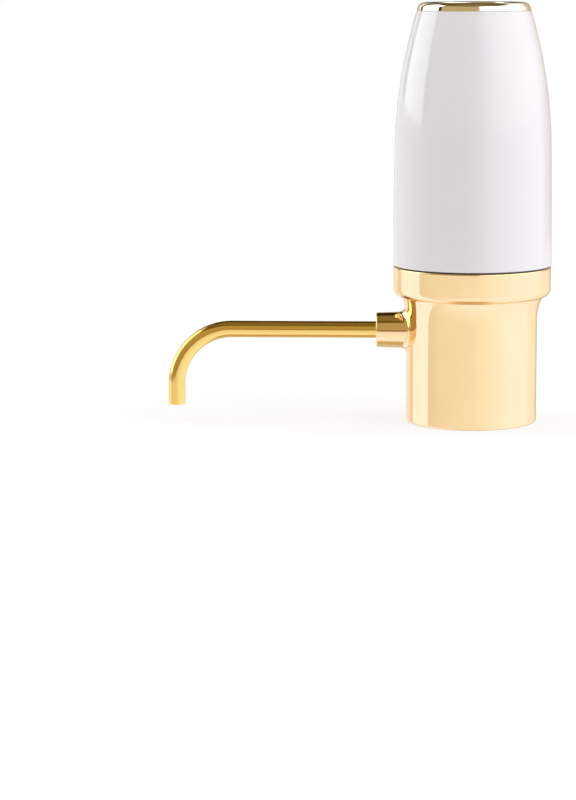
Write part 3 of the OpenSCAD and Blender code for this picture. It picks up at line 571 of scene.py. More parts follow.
def lower_body_mesh(s, axis_height):
    """The plated lower body: turned shell with its collar grown out of the skirt."""
    inner, flange_in = s.skirt_radius - s.wall, s.flange_radius - s.wall
    hole_rows, small, cove, crease = 22, 0.2 * MM, 0.3 * MM, 0.04 * MM
    low, high = -1.4 * MM, 21.4 * MM  # the collar's window in the outer wall
    bore_top, bore_low = axis_height + 5.6 * MM, axis_height - 5.6 * MM  # and in the inner wall
    window_turn = 28  # degrees to each side of the collar
    top = s.flange_top
    part = Section()

    def wall_rows(heights):
        for z in heights:
            point, normal = body_point(s, 0.0, z)
            last = part.add([(-point[0], z, -normal[0], normal[2])])
        return last

    part.arc((s.skirt_radius - s.rim_round, s.rim_height + s.rim_round), s.rim_round, -90, 0, 7)
    part.line((s.skirt_radius, s.rim_height + s.rim_round), (s.skirt_radius, low), 8)
    last = wall_rows(np.linspace(low, high, hole_rows + 1))
    outer = range(last - hole_rows, last + 1)
    wall_rows(np.linspace(high, s.flange_low - crease, 4)[1:])
    corner = (s.flange_radius - s.flange_round, s.flange_low + s.flange_round)
    reach = body_radius(s, s.flange_low) + crease - corner[0]
    part.arc(corner, s.flange_round, math.degrees(math.asin(reach / s.flange_round)) - 90, 0, 14)
    part.arc((s.flange_radius - s.flange_edge, top - s.flange_edge), s.flange_edge, 0, 90, 7)
    part.arc((flange_in + small, top - small), small, 90, 180, 4)
    floor = s.flange_low + s.wall
    part.arc((flange_in - cove, floor + cove), cove, 0, -90, 4)
    part.arc((inner + small, floor - small), small, 90, 180, 4)
    part.arc((inner - cove, s.ledge_top + cove), cove, 0, -90, 4)
    part.arc((s.ledge_hole + small, s.ledge_top - small), small, 90, 180, 4)
    part.arc((s.ledge_hole + small, s.ledge_low + small), small, 180, 270, 4)
    part.arc((inner - cove, s.ledge_low - cove), cove, 90, 0, 4)
    last = part.line((inner, bore_top), (inner, bore_low), hole_rows)
    back = range(last, last - hole_rows - 1, -1)
    part.line((inner, bore_low), (inner, s.rim_height + cove), 6)
    part.arc((inner + cove, s.rim_height + cove), cove, 180, 270, 4)
    middle, half = COLUMNS // 2, round(window_turn / 360 * COLUMNS)
    window = Window(outer, back, middle - half, middle + half, lambda a, b: collar_strip(s, axis_height, a, b))
    return turned_mesh("lower_body", part.rows, [window])


# ---------------------------------------------------------------- white shell


class Crown:
    """The shell's outline: a tapered wall and an arc that leaves it on its tangent"""

    def __init__(self, s):
        low = np.array((s.base_radius, s.base_height))
        self.shoulder = np.array((s.shoulder_radius, s.shoulder_height))
        top = np.array((s.top_radius, s.top_height))
        self.way = (self.shoulder - low) / np.linalg.norm(self.shoulder - low)
        self.out = np.array((self.way[1], -self.way[0]))
        chord = top - self.shoulder
        self.radius = float(chord @ chord / (-2 * chord @ self.out))
        self.centre = self.shoulder - self.radius * self.out
        self.low = low

    def wall_radius(self, z, inset=0.0):
        """Radius of the tapered wall, moved inwards by inset."""
        return self.low[0] + (z - self.low[1]) * self.way[0] / self.way[1] - inset / self.out[0]

    def arc_point(self, z, inset=0.0):
        """Centre radius and angle of a point of the arc, moved inwards by inset."""
        r = self.radius - inset
        rise = z - self.centre[1]
        return self.centre[0] + math.sqrt(r * r - rise * rise), math.degrees(math.asin(rise / r))


def slot_border(way, half_width, half_height):
    """Where a ray from a slot's middle meets its border, and the border's outward direction."""
    straight = half_width - half_height
    if abs(way[1]) > 1e-9:
        reach = half_height / abs(way[1])
        if abs(way[0] * reach) <= straight:
            return np.array((way[0] * reach, way[1] * reach)), np.array((0.0, math.copysign(1, way[1])))
    middle = np.array((math.copysign(straight, way[0]), 0.0))
    a, b = way @ way, way @ middle
    point = way * (b + math.sqrt(b * b - a * (middle @ middle - half_height**2))) / a
    return point, (point - middle) / half_height


def port_strip(s, crown, centre_z, half_width, half_height, box, start, end):
    """Points from the shell's outside round a port's edge, through the wall to its inside."""

    def outside(x, z, depth=0.0, inset=0.0):
        r = crown.wall_radius(z, inset)
        y = math.sqrt(r * r - x * x)
        return np.array((x, y - depth, z)), np.array((x / r * crown.out[0], y / r * crown.out[0], crown.out[1]))

    def inside(x, z):
        point, normal = outside(x, z, 0.0, s.wall)
        return point, -normal

    way = np.array((start[0] / box[0] * half_width, (start[2] - centre_z) / box[1] * half_height))
    border, away = slot_border(way, half_width, half_height)
    edge = s.port_edge
    border3, away3 = border + (0, centre_z), np.array((away[0], 0.0, away[1]))
    rim = border3 + away * edge
    flat = np.array((start[0], start[2]))
    for t in np.linspace(0, 1, 6)[1:-1]:
        yield outside(*(flat + (rim - flat) * t))
    for a in np.linspace(0, QUARTER, 6):
        spot = border3 + away * edge * (1 - math.sin(a))
        point, normal = outside(*spot, edge * (1 - math.cos(a)))
        yield point, normal * math.cos(a) - away3 * math.sin(a)
    tiny = 0.03 * MM
    depth = inside(*border3)[0][1] + tiny
    yield np.array((border3[0], depth, border3[1])), -away3
    rim = border3 + away * tiny
    flat = np.array((end[0], end[2]))
    for t in np.linspace(0, 1, 5)[:-1]:
        yield inside(*(rim + (flat - rim) * t))


def white_shell_mesh(s):
    """The white shell: tapered wall, arched crown, inner lip, charging slot and light hole."""
    crown = Crown(s)
    part = Section()
    centre_z = s.base_height + s.edge
    lean = math.degrees(math.atan2(crown.out[1], crown.out[0]))
    part.arc((crown.wall_radius(centre_z, s.edge), centre_z), s.edge, -90, lean, 6)
    port_z = (PORT_LOW.z + PORT_HIGH.z) / 2
    light_z = (LIGHT_LOW.z + LIGHT_HIGH.z) / 2

    def half_sizes(low, high, gap):
        return (high.x - low.x) / 2 + gap, (high.z - low.z) / 2 + gap

    # Height, half the opening's width and height, half the window's height, its rows and half its columns
    ports = (
        (port_z, *half_sizes(PORT_LOW, PORT_HIGH, s.slot_gap), 2.7 * MM, 8, 7),
        (light_z, *half_sizes(LIGHT_LOW, LIGHT_HIGH, s.light_gap), 2.2 * MM, 8, 2),
    )

    def wall_row(z, inset):
        facing = -1 if inset else 1
        return part.add([(crown.wall_radius(z, inset), z, facing * crown.out[0], facing * crown.out[1])])

    outer = []
    for z, _, _, half, steps, _ in ports:
        rows = [wall_row(h, 0.0) for h in np.linspace(z - half, z + half, steps + 1)]
        outer.append(rows)
    soft = 0.2 * MM
    for h in np.linspace(light_z + 8 * MM, s.shoulder_height, 4):
        wall_row(h, 0.0)
    top_z = s.top_height - soft
    edge_r, edge_angle = crown.arc_point(top_z, soft)
    start = math.degrees(math.asin((s.shoulder_height - crown.centre[1]) / crown.radius))
    part.arc(crown.centre, crown.radius, start, edge_angle, 48)
    part.arc((edge_r, top_z), soft, edge_angle, 90, 4)
    part.arc((s.crown_hole + soft, top_z), soft, 90, 180, 4)
    part.arc((s.crown_hole + soft, s.crown_low + soft), soft, 180, 270, 4)
    cove = 0.5 * MM
    cove_r, cove_angle = crown.arc_point(s.crown_low - cove, s.wall + cove)
    part.arc((cove_r, s.crown_low - cove), cove, 90, cove_angle, 4)
    part.arc(crown.centre, crown.radius - s.wall, cove_angle, start, 24)
    inner = []
    for z, _, _, half, steps, _ in reversed(ports):
        rows = [wall_row(h, s.wall) for h in np.linspace(z + half, z - half, steps + 1)]
        inner.insert(0, rows[::-1])
    wall_in = crown.wall_radius(s.lip_high, s.wall)
    part.arc((wall_in - soft, s.lip_high + soft), soft, 0, -90, 3)
    lip_in = s.lip_radius - s.lip_wall
    part.arc((lip_in + soft, s.lip_high - soft), soft, 90, 180, 3)
    part.arc((lip_in + soft, s.lip_low + soft), soft, 180, 270, 3)
    part.arc((s.lip_radius - cove, s.lip_low + cove), cove, -90, 0, 4)
    notch = s.base_height + 0.6 * MM
    tiny = 0.1 * MM
    part.arc((s.lip_radius + tiny, notch - tiny), tiny, 180, 90, 3)
    notch_r = crown.wall_radius(s.base_height, s.wall)
    part.arc((notch_r - tiny, notch - tiny), tiny, 90, 0, 3)
    part.arc((notch_r + soft, s.base_height + soft), soft, 180, 270, 3)
    windows = []
    for (z, half_width, half_height, half, _, columns), rows, back in zip(ports, outer, inner):
        middle = COLUMNS // 4
        reach = crown.wall_radius(z) * math.sin(2 * math.pi * columns / COLUMNS)

        def strip(a, b, z=z, w=half_width, h=half_height, box=(reach, half)):
            return port_strip(s, crown, z, w, h, box, a, b)

        windows.append(Window(rows, back, middle - columns, middle + columns, strip))
    return turned_mesh("white_shell", part.rows, windows)


# ---------------------------------------------------------------- bezel and button


def bezel_mesh(s, shell):
    """The plated ring at the top: it carries the shell's arch on and rounds over to the button."""
    crown = Crown(shell)
    part = Section()
    soft = 0.2 * MM
    low = shell.top_height
    foot_r, foot_angle = crown.arc_point(low + soft, soft)
    part.arc((foot_r, low + soft), soft, -90, foot_angle, 4)
    round_r, round_angle = crown.arc_point(s.bezel_top - s.bezel_round, s.bezel_round)
    part.arc(crown.centre, crown.radius, crown.arc_point(low + soft)[1], round_angle, 6)
    part.arc((round_r, s.bezel_top - s.bezel_round), s.bezel_round, round_angle, 90, 14)
    lip = 0.4 * MM
    part.arc((s.bezel_bore + lip, s.bezel_top - lip), lip, 90, 180, 6)
    part.arc((s.bezel_bore + soft, s.spigot_low + soft), soft, 180, 270, 4)
    part.arc((s.spigot_radius - soft, s.spigot_low + soft), soft, -90, 0, 4)
    bead_top = shell.crown_low - 0.1 * MM
    bead_r, nick = s.spigot_radius + s.snap_bead, 0.02 * MM
    part.line((s.spigot_radius, bead_top - 3 * s.snap_bead), (bead_r - nick, bead_top - soft))
    part.line((bead_r - soft / 2, bead_top), (s.spigot_radius + nick, bead_top))
    part.arc((s.spigot_radius + soft, low - soft), soft, 180, 90, 4)
    return turned_mesh("gold_bezel", part.rows)


def button_mesh(s):
    """The plated push button: hollow top, skirt, stop flange and stem."""
    part = Section()
    soft, stem, skirt_wall = 0.2 * MM, 2.2 * MM, 1.6 * MM
    stop_width, stop_height = 1.1 * MM, 1.4 * MM
    flange_r, flange_top = s.button_radius + stop_width, s.button_low + stop_height
    roof = s.button_top - s.button_wall
    skirt_in = s.button_radius - skirt_wall
    part.add([(0.0, s.stem_low, 0.0, -1.0)])
    part.arc((stem - soft, s.stem_low + soft), soft, -90, 0, 4)
    part.arc((stem + soft, roof - soft), soft, 180, 90, 4)
    part.arc((skirt_in - soft, roof - soft), soft, 90, 0, 4)
    part.arc((skirt_in + soft, s.button_low + soft), soft, 180, 270, 4)
    part.arc((flange_r - soft, s.button_low + soft), soft, -90, 0, 4)
    part.arc((flange_r - soft, flange_top - soft), soft, 0, 90, 4)
    part.arc((s.button_radius + soft, flange_top + soft), soft, 270, 180, 4)
    edge = s.button_edge
    hollow = (s.button_radius**2 + s.button_dish**2) / (2 * s.button_dish)
    peak = s.button_top - s.button_dish + hollow
    lean = math.degrees(math.asin((s.button_radius - edge) / (hollow + edge)))
    middle = (s.button_radius - edge, peak - math.sqrt((hollow + edge) ** 2 - (s.button_radius - edge) ** 2))
    part.arc(middle, edge, 0, 90 + lean, 8)
    rim = hollow * math.sin(math.radians(lean))
    for r in np.linspace(rim, 0.0, 16)[1:]:
        part.add([(r, peak - math.sqrt(hollow**2 - r * r), -r / hollow, math.sqrt(1 - (r / hollow) ** 2))])
    return turned_mesh("gold_button", part.rows, closed=False)


# ---------------------------------------------------------------- spout and spring


def new_tree(name, inputs):
    """A geometry-nodes tree with named number inputs, and the sockets that give them."""
    tree = bpy.data.node_groups.new(name, "GeometryNodeTree")
    tree.interface.new_socket("Geometry", in_out="OUTPUT", socket_type="NodeSocketGeometry")
    for given in inputs:
        tree.interface.new_socket(given, in_out="INPUT", socket_type="NodeSocketFloat")
    return tree, tree.nodes.new("NodeGroupInput").outputs


def round_section(tree, radius, sides):
    """A circle to sweep along a path."""
    ring = tree.nodes.new("GeometryNodeCurvePrimitiveCircle")
    ring.inputs["Resolution"].default_value = sides
    tree.links.new(radius, ring.inputs["Radius"])
    return ring.outputs[0]


def sweep_along(tree, path, section, material, capped):
    """Sweeps a section along a path and ends the tree as a plain mesh with its material."""
    nodes, link = tree.nodes, tree.links.new
    sweep = nodes.new("GeometryNodeCurveToMesh")
    sweep.inputs["Fill Caps"].default_value = capped
    link(path, sweep.inputs["Curve"])
    link(section, sweep.inputs["Profile Curve"])
    smooth = nodes.new("GeometryNodeSetShadeSmooth")
    link(sweep.outputs[0], smooth.inputs["Geometry"])
    real = nodes.new("GeometryNodeRealizeInstances")
    link(smooth.outputs[0], real.inputs[0])
    coat = nodes.new("GeometryNodeSetMaterial")
    coat.inputs["Material"].default_value = material
    link(real.outputs[0], coat.inputs["Geometry"])
    link(coat.outputs[0], nodes.new("NodeGroupOutput").inputs[0])
    return tree


def spout_tree(material):
    """Geometry nodes that sweep a round section along a line with one bend."""
    tree, given = new_tree("Bent tube", ("Start", "Reach", "Height", "Drop", "Bend radius", "Tube radius"))
    nodes, link = tree.nodes, tree.links.new

    def negative(value, plus=None):
        made = nodes.new("ShaderNodeMath")
        made.operation = "SUBTRACT"
        made.inputs[0].default_value = 0.0
        if plus is not None:
            link(plus, made.inputs[0])
        link(value, made.inputs[1])
        return made.outputs[0]

    def point(x, z):
        made = nodes.new("ShaderNodeCombineXYZ")
        link(x, made.inputs["X"])
        link(z, made.inputs["Z"])
        return made.outputs[0]

    corners = (
        point(negative(given["Start"]), given["Height"]),
        point(negative(given["Reach"]), given["Height"]),
        point(negative(given["Reach"]), negative(given["Drop"], given["Height"])),
    )
    row = nodes.new("GeometryNodeMeshLine")
    row.inputs["Count"].default_value = 3
    path = nodes.new("GeometryNodeMeshToCurve")
    link(row.outputs[0], path.inputs[0])
    index = nodes.new("GeometryNodeInputIndex").outputs[0]
    pick = nodes.new("GeometryNodeIndexSwitch")
    pick.data_type = "VECTOR"
    pick.index_switch_items.new()
    link(index, pick.inputs["Index"])
    for socket, corner in zip(list(pick.inputs)[1:4], corners):
        link(corner, socket)
    lay = nodes.new("GeometryNodeSetPosition")
    link(path.outputs[0], lay.inputs["Geometry"])
    link(pick.outputs[0], lay.inputs["Position"])
    bend = nodes.new("GeometryNodeFilletCurve")
    bend.mode = "POLY"
    bend.inputs["Count"].default_value = 60
    link(lay.outputs[0], bend.inputs["Curve"])
    link(given["Bend radius"], bend.inputs["Radius"])

    def keep(curve, name, kind, value):
        made = nodes.new("GeometryNodeStoreNamedAttribute")
        made.data_type = kind
        made.inputs["Name"].default_value = name
        link(curve, made.inputs["Geometry"])
        link(value, next(x for x in made.inputs if x.name == "Value" and x.enabled))
        return made.outputs[0]

    along = nodes.new("GeometryNodeSplineParameter").outputs["Length"]
    place_on = nodes.new("GeometryNodeInputPosition").outputs[0]
    section = keep(round_section(tree, given["Tube radius"], 72), "section", "FLOAT_VECTOR", place_on)
    return sweep_along(tree, keep(bend.outputs[0], "along", "FLOAT", along), section, material, False)


def coil_tree(material):
    """Geometry nodes that sweep a round wire along a helix."""
    tree, given = new_tree("Coil spring", ("Turns", "Coil radius", "Foot", "Rise", "Wire radius"))
    nodes, link = tree.nodes, tree.links.new
    helix = nodes.new("GeometryNodeCurveSpiral")
    helix.inputs["Resolution"].default_value = 40
    for name, value in (("Rotations", "Turns"), ("Start Radius", "Coil radius"), ("End Radius", "Coil radius"),
                        ("Height", "Rise")):
        link(given[value], helix.inputs[name])
    foot = nodes.new("ShaderNodeCombineXYZ")
    link(given["Foot"], foot.inputs["Z"])
    lift = nodes.new("GeometryNodeTransform")
    link(helix.outputs[0], lift.inputs["Geometry"])
    link(foot.outputs[0], lift.inputs["Translation"])
    return sweep_along(tree, lift.outputs[0], round_section(tree, given["Wire radius"], 18), material, True)


def grown_mesh(name, tree, values):
    """Runs a geometry-nodes tree with its inputs set and returns the plain mesh."""
    holder = bpy.data.objects.new(name + "_maker", bpy.data.meshes.new(name + "_maker"))
    bpy.context.scene.collection.objects.link(holder)
    maker = holder.modifiers.new("Maker", "NODES")
    maker.node_group = tree
    sockets = {i.name: i.identifier for i in tree.interface.items_tree if i.in_out == "INPUT"}
    for key, value in values.items():
        maker[sockets[key]] = value
    mesh = evaluated_mesh(name, holder)
    bpy.data.objects.remove(holder)
    return mesh


def evaluated_mesh(name, holder):
    """The plain mesh of an object with its modifiers."""
    view = bpy.context.evaluated_depsgraph_get()
    view.update()
    mesh = bpy.data.meshes.new_from_object(holder.evaluated_get(view), depsgraph=view)
    mesh.name = name
    return mesh


def walled_mesh(mesh, wall, lip):
    """An open tube given its wall inwards and rounded lips."""
    name = mesh.name
    holder = bpy.data.objects.new(name + "_wall", mesh)
    bpy.context.scene.collection.objects.link(holder)
    thick = holder.modifiers.new("Wall", "SOLIDIFY")
    thick.thickness, thick.offset, thick.use_even_offset = wall, -1.0, True
    lips = holder.modifiers.new("Lips", "BEVEL")
    lips.width, lips.segments, lips.limit_method = lip, 3, "ANGLE"
    lips.angle_limit, lips.harden_normals = math.radians(50), True
    mesh.name = name + "_open"
    made = evaluated_mesh(name, holder)
    bpy.data.objects.remove(holder)
    return made


# ---------------------------------------------------------------- stage

# Panels that mirror surfaces see all round in place of the white background, listed from the ground up: the
# rise in degrees over which a ring takes over from the one below it, and its levels or colours by azimuth in degrees
# from the front
BROWN, TAN, DUSK = (0.3, 0.18, 0.04), (0.54, 0.43, 0.22), (0.19, 0.125, 0.025)
NADIR = (0.7, 0.55, 0.32)
PANELS = ((-140, 0.05), (-134, 0.05), (-129, 2.2), (-112, 2.5), (-84, 2.6), (-82.5, 0.05), (-76, 0.05), (-74, TAN),
          (9, TAN))
RINGS = (
    ((-82, -66), ((-180, 0.75), (-150, 0.8), (-138, 1.1), (-124, 1.27), (-84, 1.27), (-82, 1.02), (-60, 1.1),
                  (-30, 1.18), (40, 1.24), (110, 1.27), (140, 1.15), (152, 0.8), (180, 0.75))),
    ((-60, -12), ((-180, 0.85), (-155, 1.05), (-143, 1.08), (-133, 0.89), (-129, 0.97), (-123, 1.3), (-84, 1.32),
                  (-82.5, 0.95), (-70, 0.97), (-55, 1.02), (0, 1.06), (18, 1.13), (45, 1.22), (65, 1.28), (112, 1.3),
                  (122, 1.18), (142, 1.14), (152, 0.98), (160, 0.74), (180, 0.7))),
    ((-5.9, -5.1), ((-180, 0.05), (-172, 0.05), (-168, 0.95), (-118, 0.95), (-84, 0.66), (-50, 0.42), (-12, BROWN),
                    (2, BROWN), (14, 0.9), (26, 1.25), (70, 1.5), (106, 1.5), (118, 1.2), (130, 0.75), (142, 0.55),
                    (168, 0.6), (172, 0.05), (180, 0.05))),
    ((1.5, 2.7), ((-180, 0.6), (-156, 0.6), (-148, 1.1), (-143, 1.1), *PANELS, (14, 0.95), (24, 1.4), (36, 1.95),
                  (98, 2.0), (112, 1.7), (126, 1.15), (138, 0.8), (150, 0.6), (180, 0.6))),
    ((24, 30), ((-180, 0.03), (-150, 0.03), (-147, 0.5), (-143, 0.5), *PANELS, (14, 1.4), (30, 1.95), (98, 2.0),
                (112, 1.7), (138, 1.4), (165, 0.9), (169, 0.03), (180, 0.03))),
    ((48, 54), ((-180, 0.02), (-120, DUSK), (90, DUSK), (125, 0.03), (180, 0.02))),
    ((62, 74), ((-180, (0.27, 0.2, 0.08)), (180, (0.27, 0.2, 0.08)))),
)


def seen_share(nodes, link, rays):
    """A factor that is 1 for the kinds of ray named."""
    path = nodes.new("ShaderNodeLightPath")
    total = None
    for ray in rays:
        if total is None:
            total = path.outputs[ray]
            continue
        made = nodes.new("ShaderNodeMath")
        made.operation = "MAXIMUM"
        link(total, made.inputs[0])
        link(path.outputs[ray], made.inputs[1])
        total = made.outputs[0]
    return total


def studio_floor(height, opening):
    """A pale floor that shows white and keeps the object's shadow, open under the skirt so that its inside is lit."""
    sides, reach = 64, 5.0
    mesh = bpy.data.meshes.new("floor")
    turns = np.linspace(0, 2 * math.pi, sides + 1)[:-1]
    verts = [(r * math.cos(a), r * math.sin(a), height) for r in (opening, reach) for a in turns]
    nexts = [(i + 1) % sides for i in range(sides)]
    mesh.from_pydata(verts, [], [(i, i + sides, n + sides, n) for i, n in enumerate(nexts)])
    mat = bpy.data.materials.new("pale_floor")
    mat.use_nodes = True
    nodes, link = mat.node_tree.nodes, mat.node_tree.links.new
    nodes.clear()
    plain = nodes.new("ShaderNodeBsdfDiffuse")
    plain.inputs["Color"].default_value = (0.8, 0.8, 0.8, 1)
    shade = nodes.new("ShaderNodeBsdfDiffuse")
    shade.inputs["Color"].default_value = (0.3, 0.3, 0.3, 1)
    glow = nodes.new("ShaderNodeEmission")
    glow.inputs["Strength"].default_value = 0.7
    add = nodes.new("ShaderNodeAddShader")
    link(shade.outputs[0], add.inputs[0])
    link(glow.outputs[0], add.inputs[1])
    shown = nodes.new("ShaderNodeMixShader")
    link(seen_share(nodes, link, ("Is Camera Ray", "Is Glossy Ray", "Is Transmission Ray")), shown.inputs[0])
    link(plain.outputs[0], shown.inputs[1])
    link(add.outputs[0], shown.inputs[2])
    below = nodes.new("ShaderNodeMixShader")
    link(nodes.new("ShaderNodeNewGeometry").outputs["Backfacing"], below.inputs[0])
    link(shown.outputs[0], below.inputs[1])
    link(nodes.new("ShaderNodeBsdfTransparent").outputs[0], below.inputs[2])
    link(below.outputs[0], nodes.new("ShaderNodeOutputMaterial").inputs["Surface"])
    mesh.materials.append(mat)
    floor = bpy.data.objects.new("floor", mesh)
    floor.visible_glossy = False  # mirror surfaces see the panels instead
    bpy.context.scene.collection.objects.link(floor)


def surroundings(ambient):
    """White to the camera, a studio of soft panels to mirror surfaces, even light for the rest."""
    world = bpy.data.worlds.new("studio")
    bpy.context.scene.world = world
    world.use_nodes = True
    nodes, link = world.node_tree.nodes, world.node_tree.links.new
    nodes.clear()
    gain = 4.0  # a colour ramp holds levels up to 1, so the background brings them back

    def math_node(operation, *values):
        made = nodes.new("ShaderNodeMath")
        made.operation = operation
        for socket, value in zip(made.inputs, values):
            if isinstance(value, (int, float)):
                socket.default_value = value
            else:
                link(value, socket)
        return made.outputs[0]

    def ease(value, low, high):
        made = nodes.new("ShaderNodeMapRange")
        made.interpolation_type = "SMOOTHSTEP"
        made.inputs["From Min"].default_value = math.radians(low)
        made.inputs["From Max"].default_value = math.radians(high)
        link(value, made.inputs["Value"])
        return made.outputs[0]

    def tone(level):
        green = np.interp(level, (0.1, 0.6, 0.9, 1.1, 1.3), (0.75, 0.88, 0.97, 1.02, 1.02))
        blue = np.interp(level, (0.1, 0.6, 0.9, 1.1, 1.3, 1.6, 2.0), (0.45, 0.7, 0.9, 1.08, 1.28, 1.15, 1.0))
        return level, level * green, level * blue

    def ring(place_at, stops):
        made = nodes.new("ShaderNodeValToRGB")
        marks = made.color_ramp.elements
        for k, (turn, level) in enumerate(stops):
            mark = marks[k] if k < 2 else marks.new(1.0)
            mark.position = turn / 360 + 0.5
            level = level if isinstance(level, tuple) else tone(level)
            mark.color = (*(v / gain for v in level), 1)
        link(place_at, made.inputs["Fac"])
        return made.outputs["Color"]

    def blend(factor, a, b):
        made = nodes.new("ShaderNodeMix")
        made.data_type = "RGBA"
        link(factor, made.inputs["Factor"])
        for socket, value in zip([x for x in made.inputs if x.type == "RGBA"], (a, b)):
            if isinstance(value, tuple):
                socket.default_value = value
            else:
                link(value, socket)
        return next(x for x in made.outputs if x.type == "RGBA")

    way = nodes.new("ShaderNodeSeparateXYZ")
    link(nodes.new("ShaderNodeTexCoord").outputs["Generated"], way.inputs[0])
    turn = math_node("ARCTAN2", way.outputs["X"], math_node("MULTIPLY", way.outputs["Y"], -1.0))
    turn = math_node("MULTIPLY_ADD", turn, 0.5 / math.pi, 0.5)
    rise = math_node("ARCSINE", way.outputs["Z"])
    panels = (*(v / gain for v in NADIR), 1)
    for span, stops in RINGS:
        panels = blend(ease(rise, *span), panels, ring(turn, stops))

    def sky(level, colour=None):
        made = nodes.new("ShaderNodeBackground")
        made.inputs["Color"].default_value = (1, 1, 1, 1)
        made.inputs["Strength"].default_value = level
        if colour:
            link(colour, made.inputs["Color"])
        return made.outputs[0]

    def mix(rays, rest, chosen):
        made = nodes.new("ShaderNodeMixShader")
        link(seen_share(nodes, link, rays), made.inputs[0])
        link(rest, made.inputs[1])
        link(chosen, made.inputs[2])
        return made.outputs[0]

    mirrored = mix(("Is Glossy Ray",), sky(ambient), sky(gain, panels))
    shown = mix(("Is Camera Ray", "Is Transmission Ray"), mirrored, sky(1.0))
    link(shown, nodes.new("ShaderNodeOutputWorld").inputs["Surface"])


def soft_light(name, turn, rise, spread, strength):
    """A broad soft lamp far away: it lights but isn't mirrored."""
    lamp = bpy.data.lights.new(name, "SUN")
    lamp.energy, lamp.angle = strength, math.radians(spread)
    made = bpy.data.objects.new(name, lamp)
    turn, rise = math.radians(turn), math.radians(rise)
    away = Vector((math.sin(turn) * math.cos(rise), -math.cos(turn) * math.cos(rise), math.sin(rise)))
    made.rotation_euler = away.to_track_quat("Z", "Y").to_euler()
    made.visible_glossy = False
    bpy.context.scene.collection.objects.link(made)


def studio_camera(s):
    """The camera at the photograph's viewing angle."""
    azimuth, pan, tilt, roll = (math.radians(v) for v in (0.631, 3.766, 9.097, -0.137))
    eye = Vector((-s.camera_distance * math.sin(azimuth), -s.camera_distance * math.cos(azimuth), s.camera_height))
    yaw = azimuth - pan
    ahead = Vector((math.sin(yaw) * math.cos(tilt), math.cos(yaw) * math.cos(tilt), -math.sin(tilt)))
    right = ahead.cross(Vector((0, 0, 1))).normalized()
    up = right.cross(ahead)
    across = math.cos(roll) * right + math.sin(roll) * up
    above = -math.sin(roll) * right + math.cos(roll) * up
    data = bpy.data.cameras.new("camera")
    data.lens, data.sensor_fit, data.sensor_width = s.lens, "AUTO", 36.0
    data.clip_start, data.clip_end = 0.05, 50.0
    made = bpy.data.objects.new("camera", data)
    turn = Matrix((across, above, -ahead)).transposed().to_4x4()
    made.matrix_world = Matrix.Translation(eye) @ turn
    bpy.context.scene.collection.objects.link(made)
    bpy.context.scene.camera = made


# ---------------------------------------------------------------- operators


class AERATOR_OT_stage(bpy.types.Operator):
    """Makes the floor, the light and the camera"""

    bl_idname = "aerator.stage"
    bl_label = "Studio"

    def execute(self, context):
        s = context.scene.aerator_studio
        context.scene.view_settings.view_transform = "Standard"
        studio_camera(s)
        surroundings(s.ambient)
        body = context.scene.aerator_body
        studio_floor(body.rim_height, body.skirt_radius - body.wall / 2)
        soft_light("key_light", 75, 30, 60, s.key)
        soft_light("fill_light", -105, 30, 60, s.fill)
        return {"FINISHED"}


class AERATOR_OT_lower_body(bpy.types.Operator):
    """Makes the plated lower body with its collar"""

    bl_idname = "aerator.lower_body"
    bl_label = "Lower body"

    def execute(self, context):
        mesh = lower_body_mesh(context.scene.aerator_body, context.scene.aerator_spout.height)
        plating = mirror_plating("mirror_plating", context.scene.aerator_finish.plating)
        place(mesh, "housing", "plated_gold", plating, "base_shell")
        return {"FINISHED"}


class AERATOR_OT_white_shell(bpy.types.Operator):
    """Makes the white shell with its charging slot and light hole"""

    bl_idname = "aerator.white_shell"
    bl_label = "White shell"

    def execute(self, context):
        mesh = white_shell_mesh(context.scene.aerator_shell)
        place(mesh, "housing", "gloss_white", gloss_white(context.scene.aerator_finish.shell), "upper_shell")
        return {"FINISHED"}


class AERATOR_OT_top(bpy.types.Operator):
    """Makes the gold bezel and the push button in it"""

    bl_idname = "aerator.top"
    bl_label = "Bezel and button"

    def execute(self, context):
        finish = context.scene.aerator_finish
        plating = mirror_plating("top_plating", finish.top_plating)
        top = context.scene.aerator_top
        place(bezel_mesh(top, context.scene.aerator_shell), "housing", "plated_gold", plating, "top_bezel")
        spun = spun_plating(finish.top_plating)
        place(button_mesh(top), "button", "plated_gold", spun, "push_button")
        return {"FINISHED"}


class AERATOR_OT_spring(bpy.types.Operator):
    """Makes the button's return spring between the button guide and the button's roof"""

    bl_idname = "aerator.spring"
    bl_label = "Return spring"

    def execute(self, context):
        top = context.scene.aerator_top
        wire, gap = top.spring_wire, 0.05 * MM
        foot = GUIDE_TOP + wire + gap
        roof = top.button_top - top.button_wall - wire - gap
        steel = inner_finish("spring_steel")
        values = {"Turns": top.spring_turns, "Coil radius": top.spring_radius, "Foot": foot, "Rise": roof - foot,
                  "Wire radius": wire}
        spring = place(grown_mesh("return_spring", coil_tree(steel), values), None, "steel", steel, "button_spring")
        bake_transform(spring)
        return {"FINISHED"}


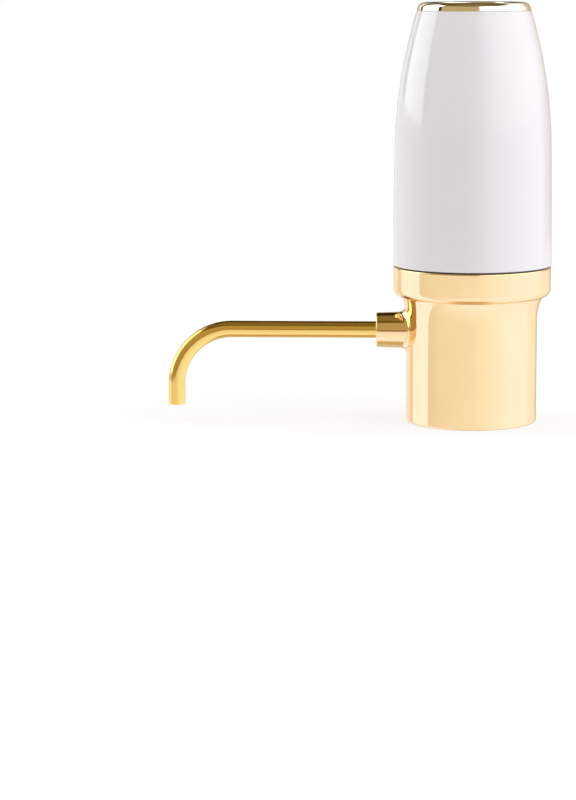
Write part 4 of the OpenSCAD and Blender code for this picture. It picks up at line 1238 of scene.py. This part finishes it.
class AERATOR_OT_spout(bpy.types.Operator):
    """Makes the bent spout tube"""

    bl_idname = "aerator.spout"
    bl_label = "Spout"

    def execute(self, context):
        s = context.scene.aerator_spout
        gold = drawn_gold(context.scene.aerator_finish.tube)
        values = {"Start": s.start, "Reach": s.reach, "Height": s.height, "Drop": s.drop,
                  "Bend radius": s.bend, "Tube radius": s.radius}
        mesh = walled_mesh(grown_mesh("spout_pipe", spout_tree(gold), values), s.wall, s.lip)
        pipe = place(mesh, "spout", "gold_tube", gold, "spout_tube")
        pipe.visible_glossy = False  # the skirt doesn't mirror the spout
        return {"FINISHED"}


class AERATOR_OT_inner_pieces(bpy.types.Operator):
    """Gives every piece that keeps its CAD shape its finish"""

    bl_idname = "aerator.inner_pieces"
    bl_label = "Inner pieces"

    def execute(self, context):
        made = {}
        for row in frame["record"]["subparts"]:
            node = frame["nodes"][row["node"]]
            slot = row["material_slot"]
            if node.hide_render:
                continue
            # The shell's gasket gets dark rubber with a brown tint that is painted shade for the joint line
            finish = "gasket_shade_rubber" if row["node"] == "shell_gasket" else slot
            made[finish] = made.get(finish) or inner_finish(finish)
            for place_for in node.material_slots:
                place_for.material = made[finish]
        return {"FINISHED"}


class AERATOR_PT_sidebar(bpy.types.Panel):
    """Sizes, finishes and pieces of the aerator"""

    bl_idname = "AERATOR_PT_sidebar"
    bl_label = "Wine aerator"
    bl_space_type = "VIEW_3D"
    bl_region_type = "UI"
    bl_category = "Aerator"

    def draw(self, context):
        for step in STEPS:
            self.layout.operator(step.bl_idname)
        for name, group in SIZE_GROUPS.items():
            box = self.layout.box()
            box.label(text=group.__doc__)
            for key in group.__annotations__:
                box.prop(getattr(context.scene, name), key)


STEPS = (
    AERATOR_OT_stage,
    AERATOR_OT_lower_body,
    AERATOR_OT_white_shell,
    AERATOR_OT_top,
    AERATOR_OT_spring,
    AERATOR_OT_spout,
    AERATOR_OT_inner_pieces,
)
CLASSES = (*SIZE_GROUPS.values(), *STEPS, AERATOR_PT_sidebar)


def register():
    for cls in CLASSES:
        bpy.utils.register_class(cls)
    for name, group in SIZE_GROUPS.items():
        setattr(bpy.types.Scene, name, bpy.props.PointerProperty(type=group))


def unregister():
    for name in SIZE_GROUPS:
        delattr(bpy.types.Scene, name)
    for cls in reversed(CLASSES):
        bpy.utils.unregister_class(cls)


def main():
    register()
    bpy.ops.aerator.stage()
    bpy.ops.aerator.lower_body()
    bpy.ops.aerator.white_shell()
    bpy.ops.aerator.top()
    bpy.ops.aerator.spring()
    bpy.ops.aerator.spout()
    bpy.ops.aerator.inner_pieces()


if __name__ == "__main__":
    main()
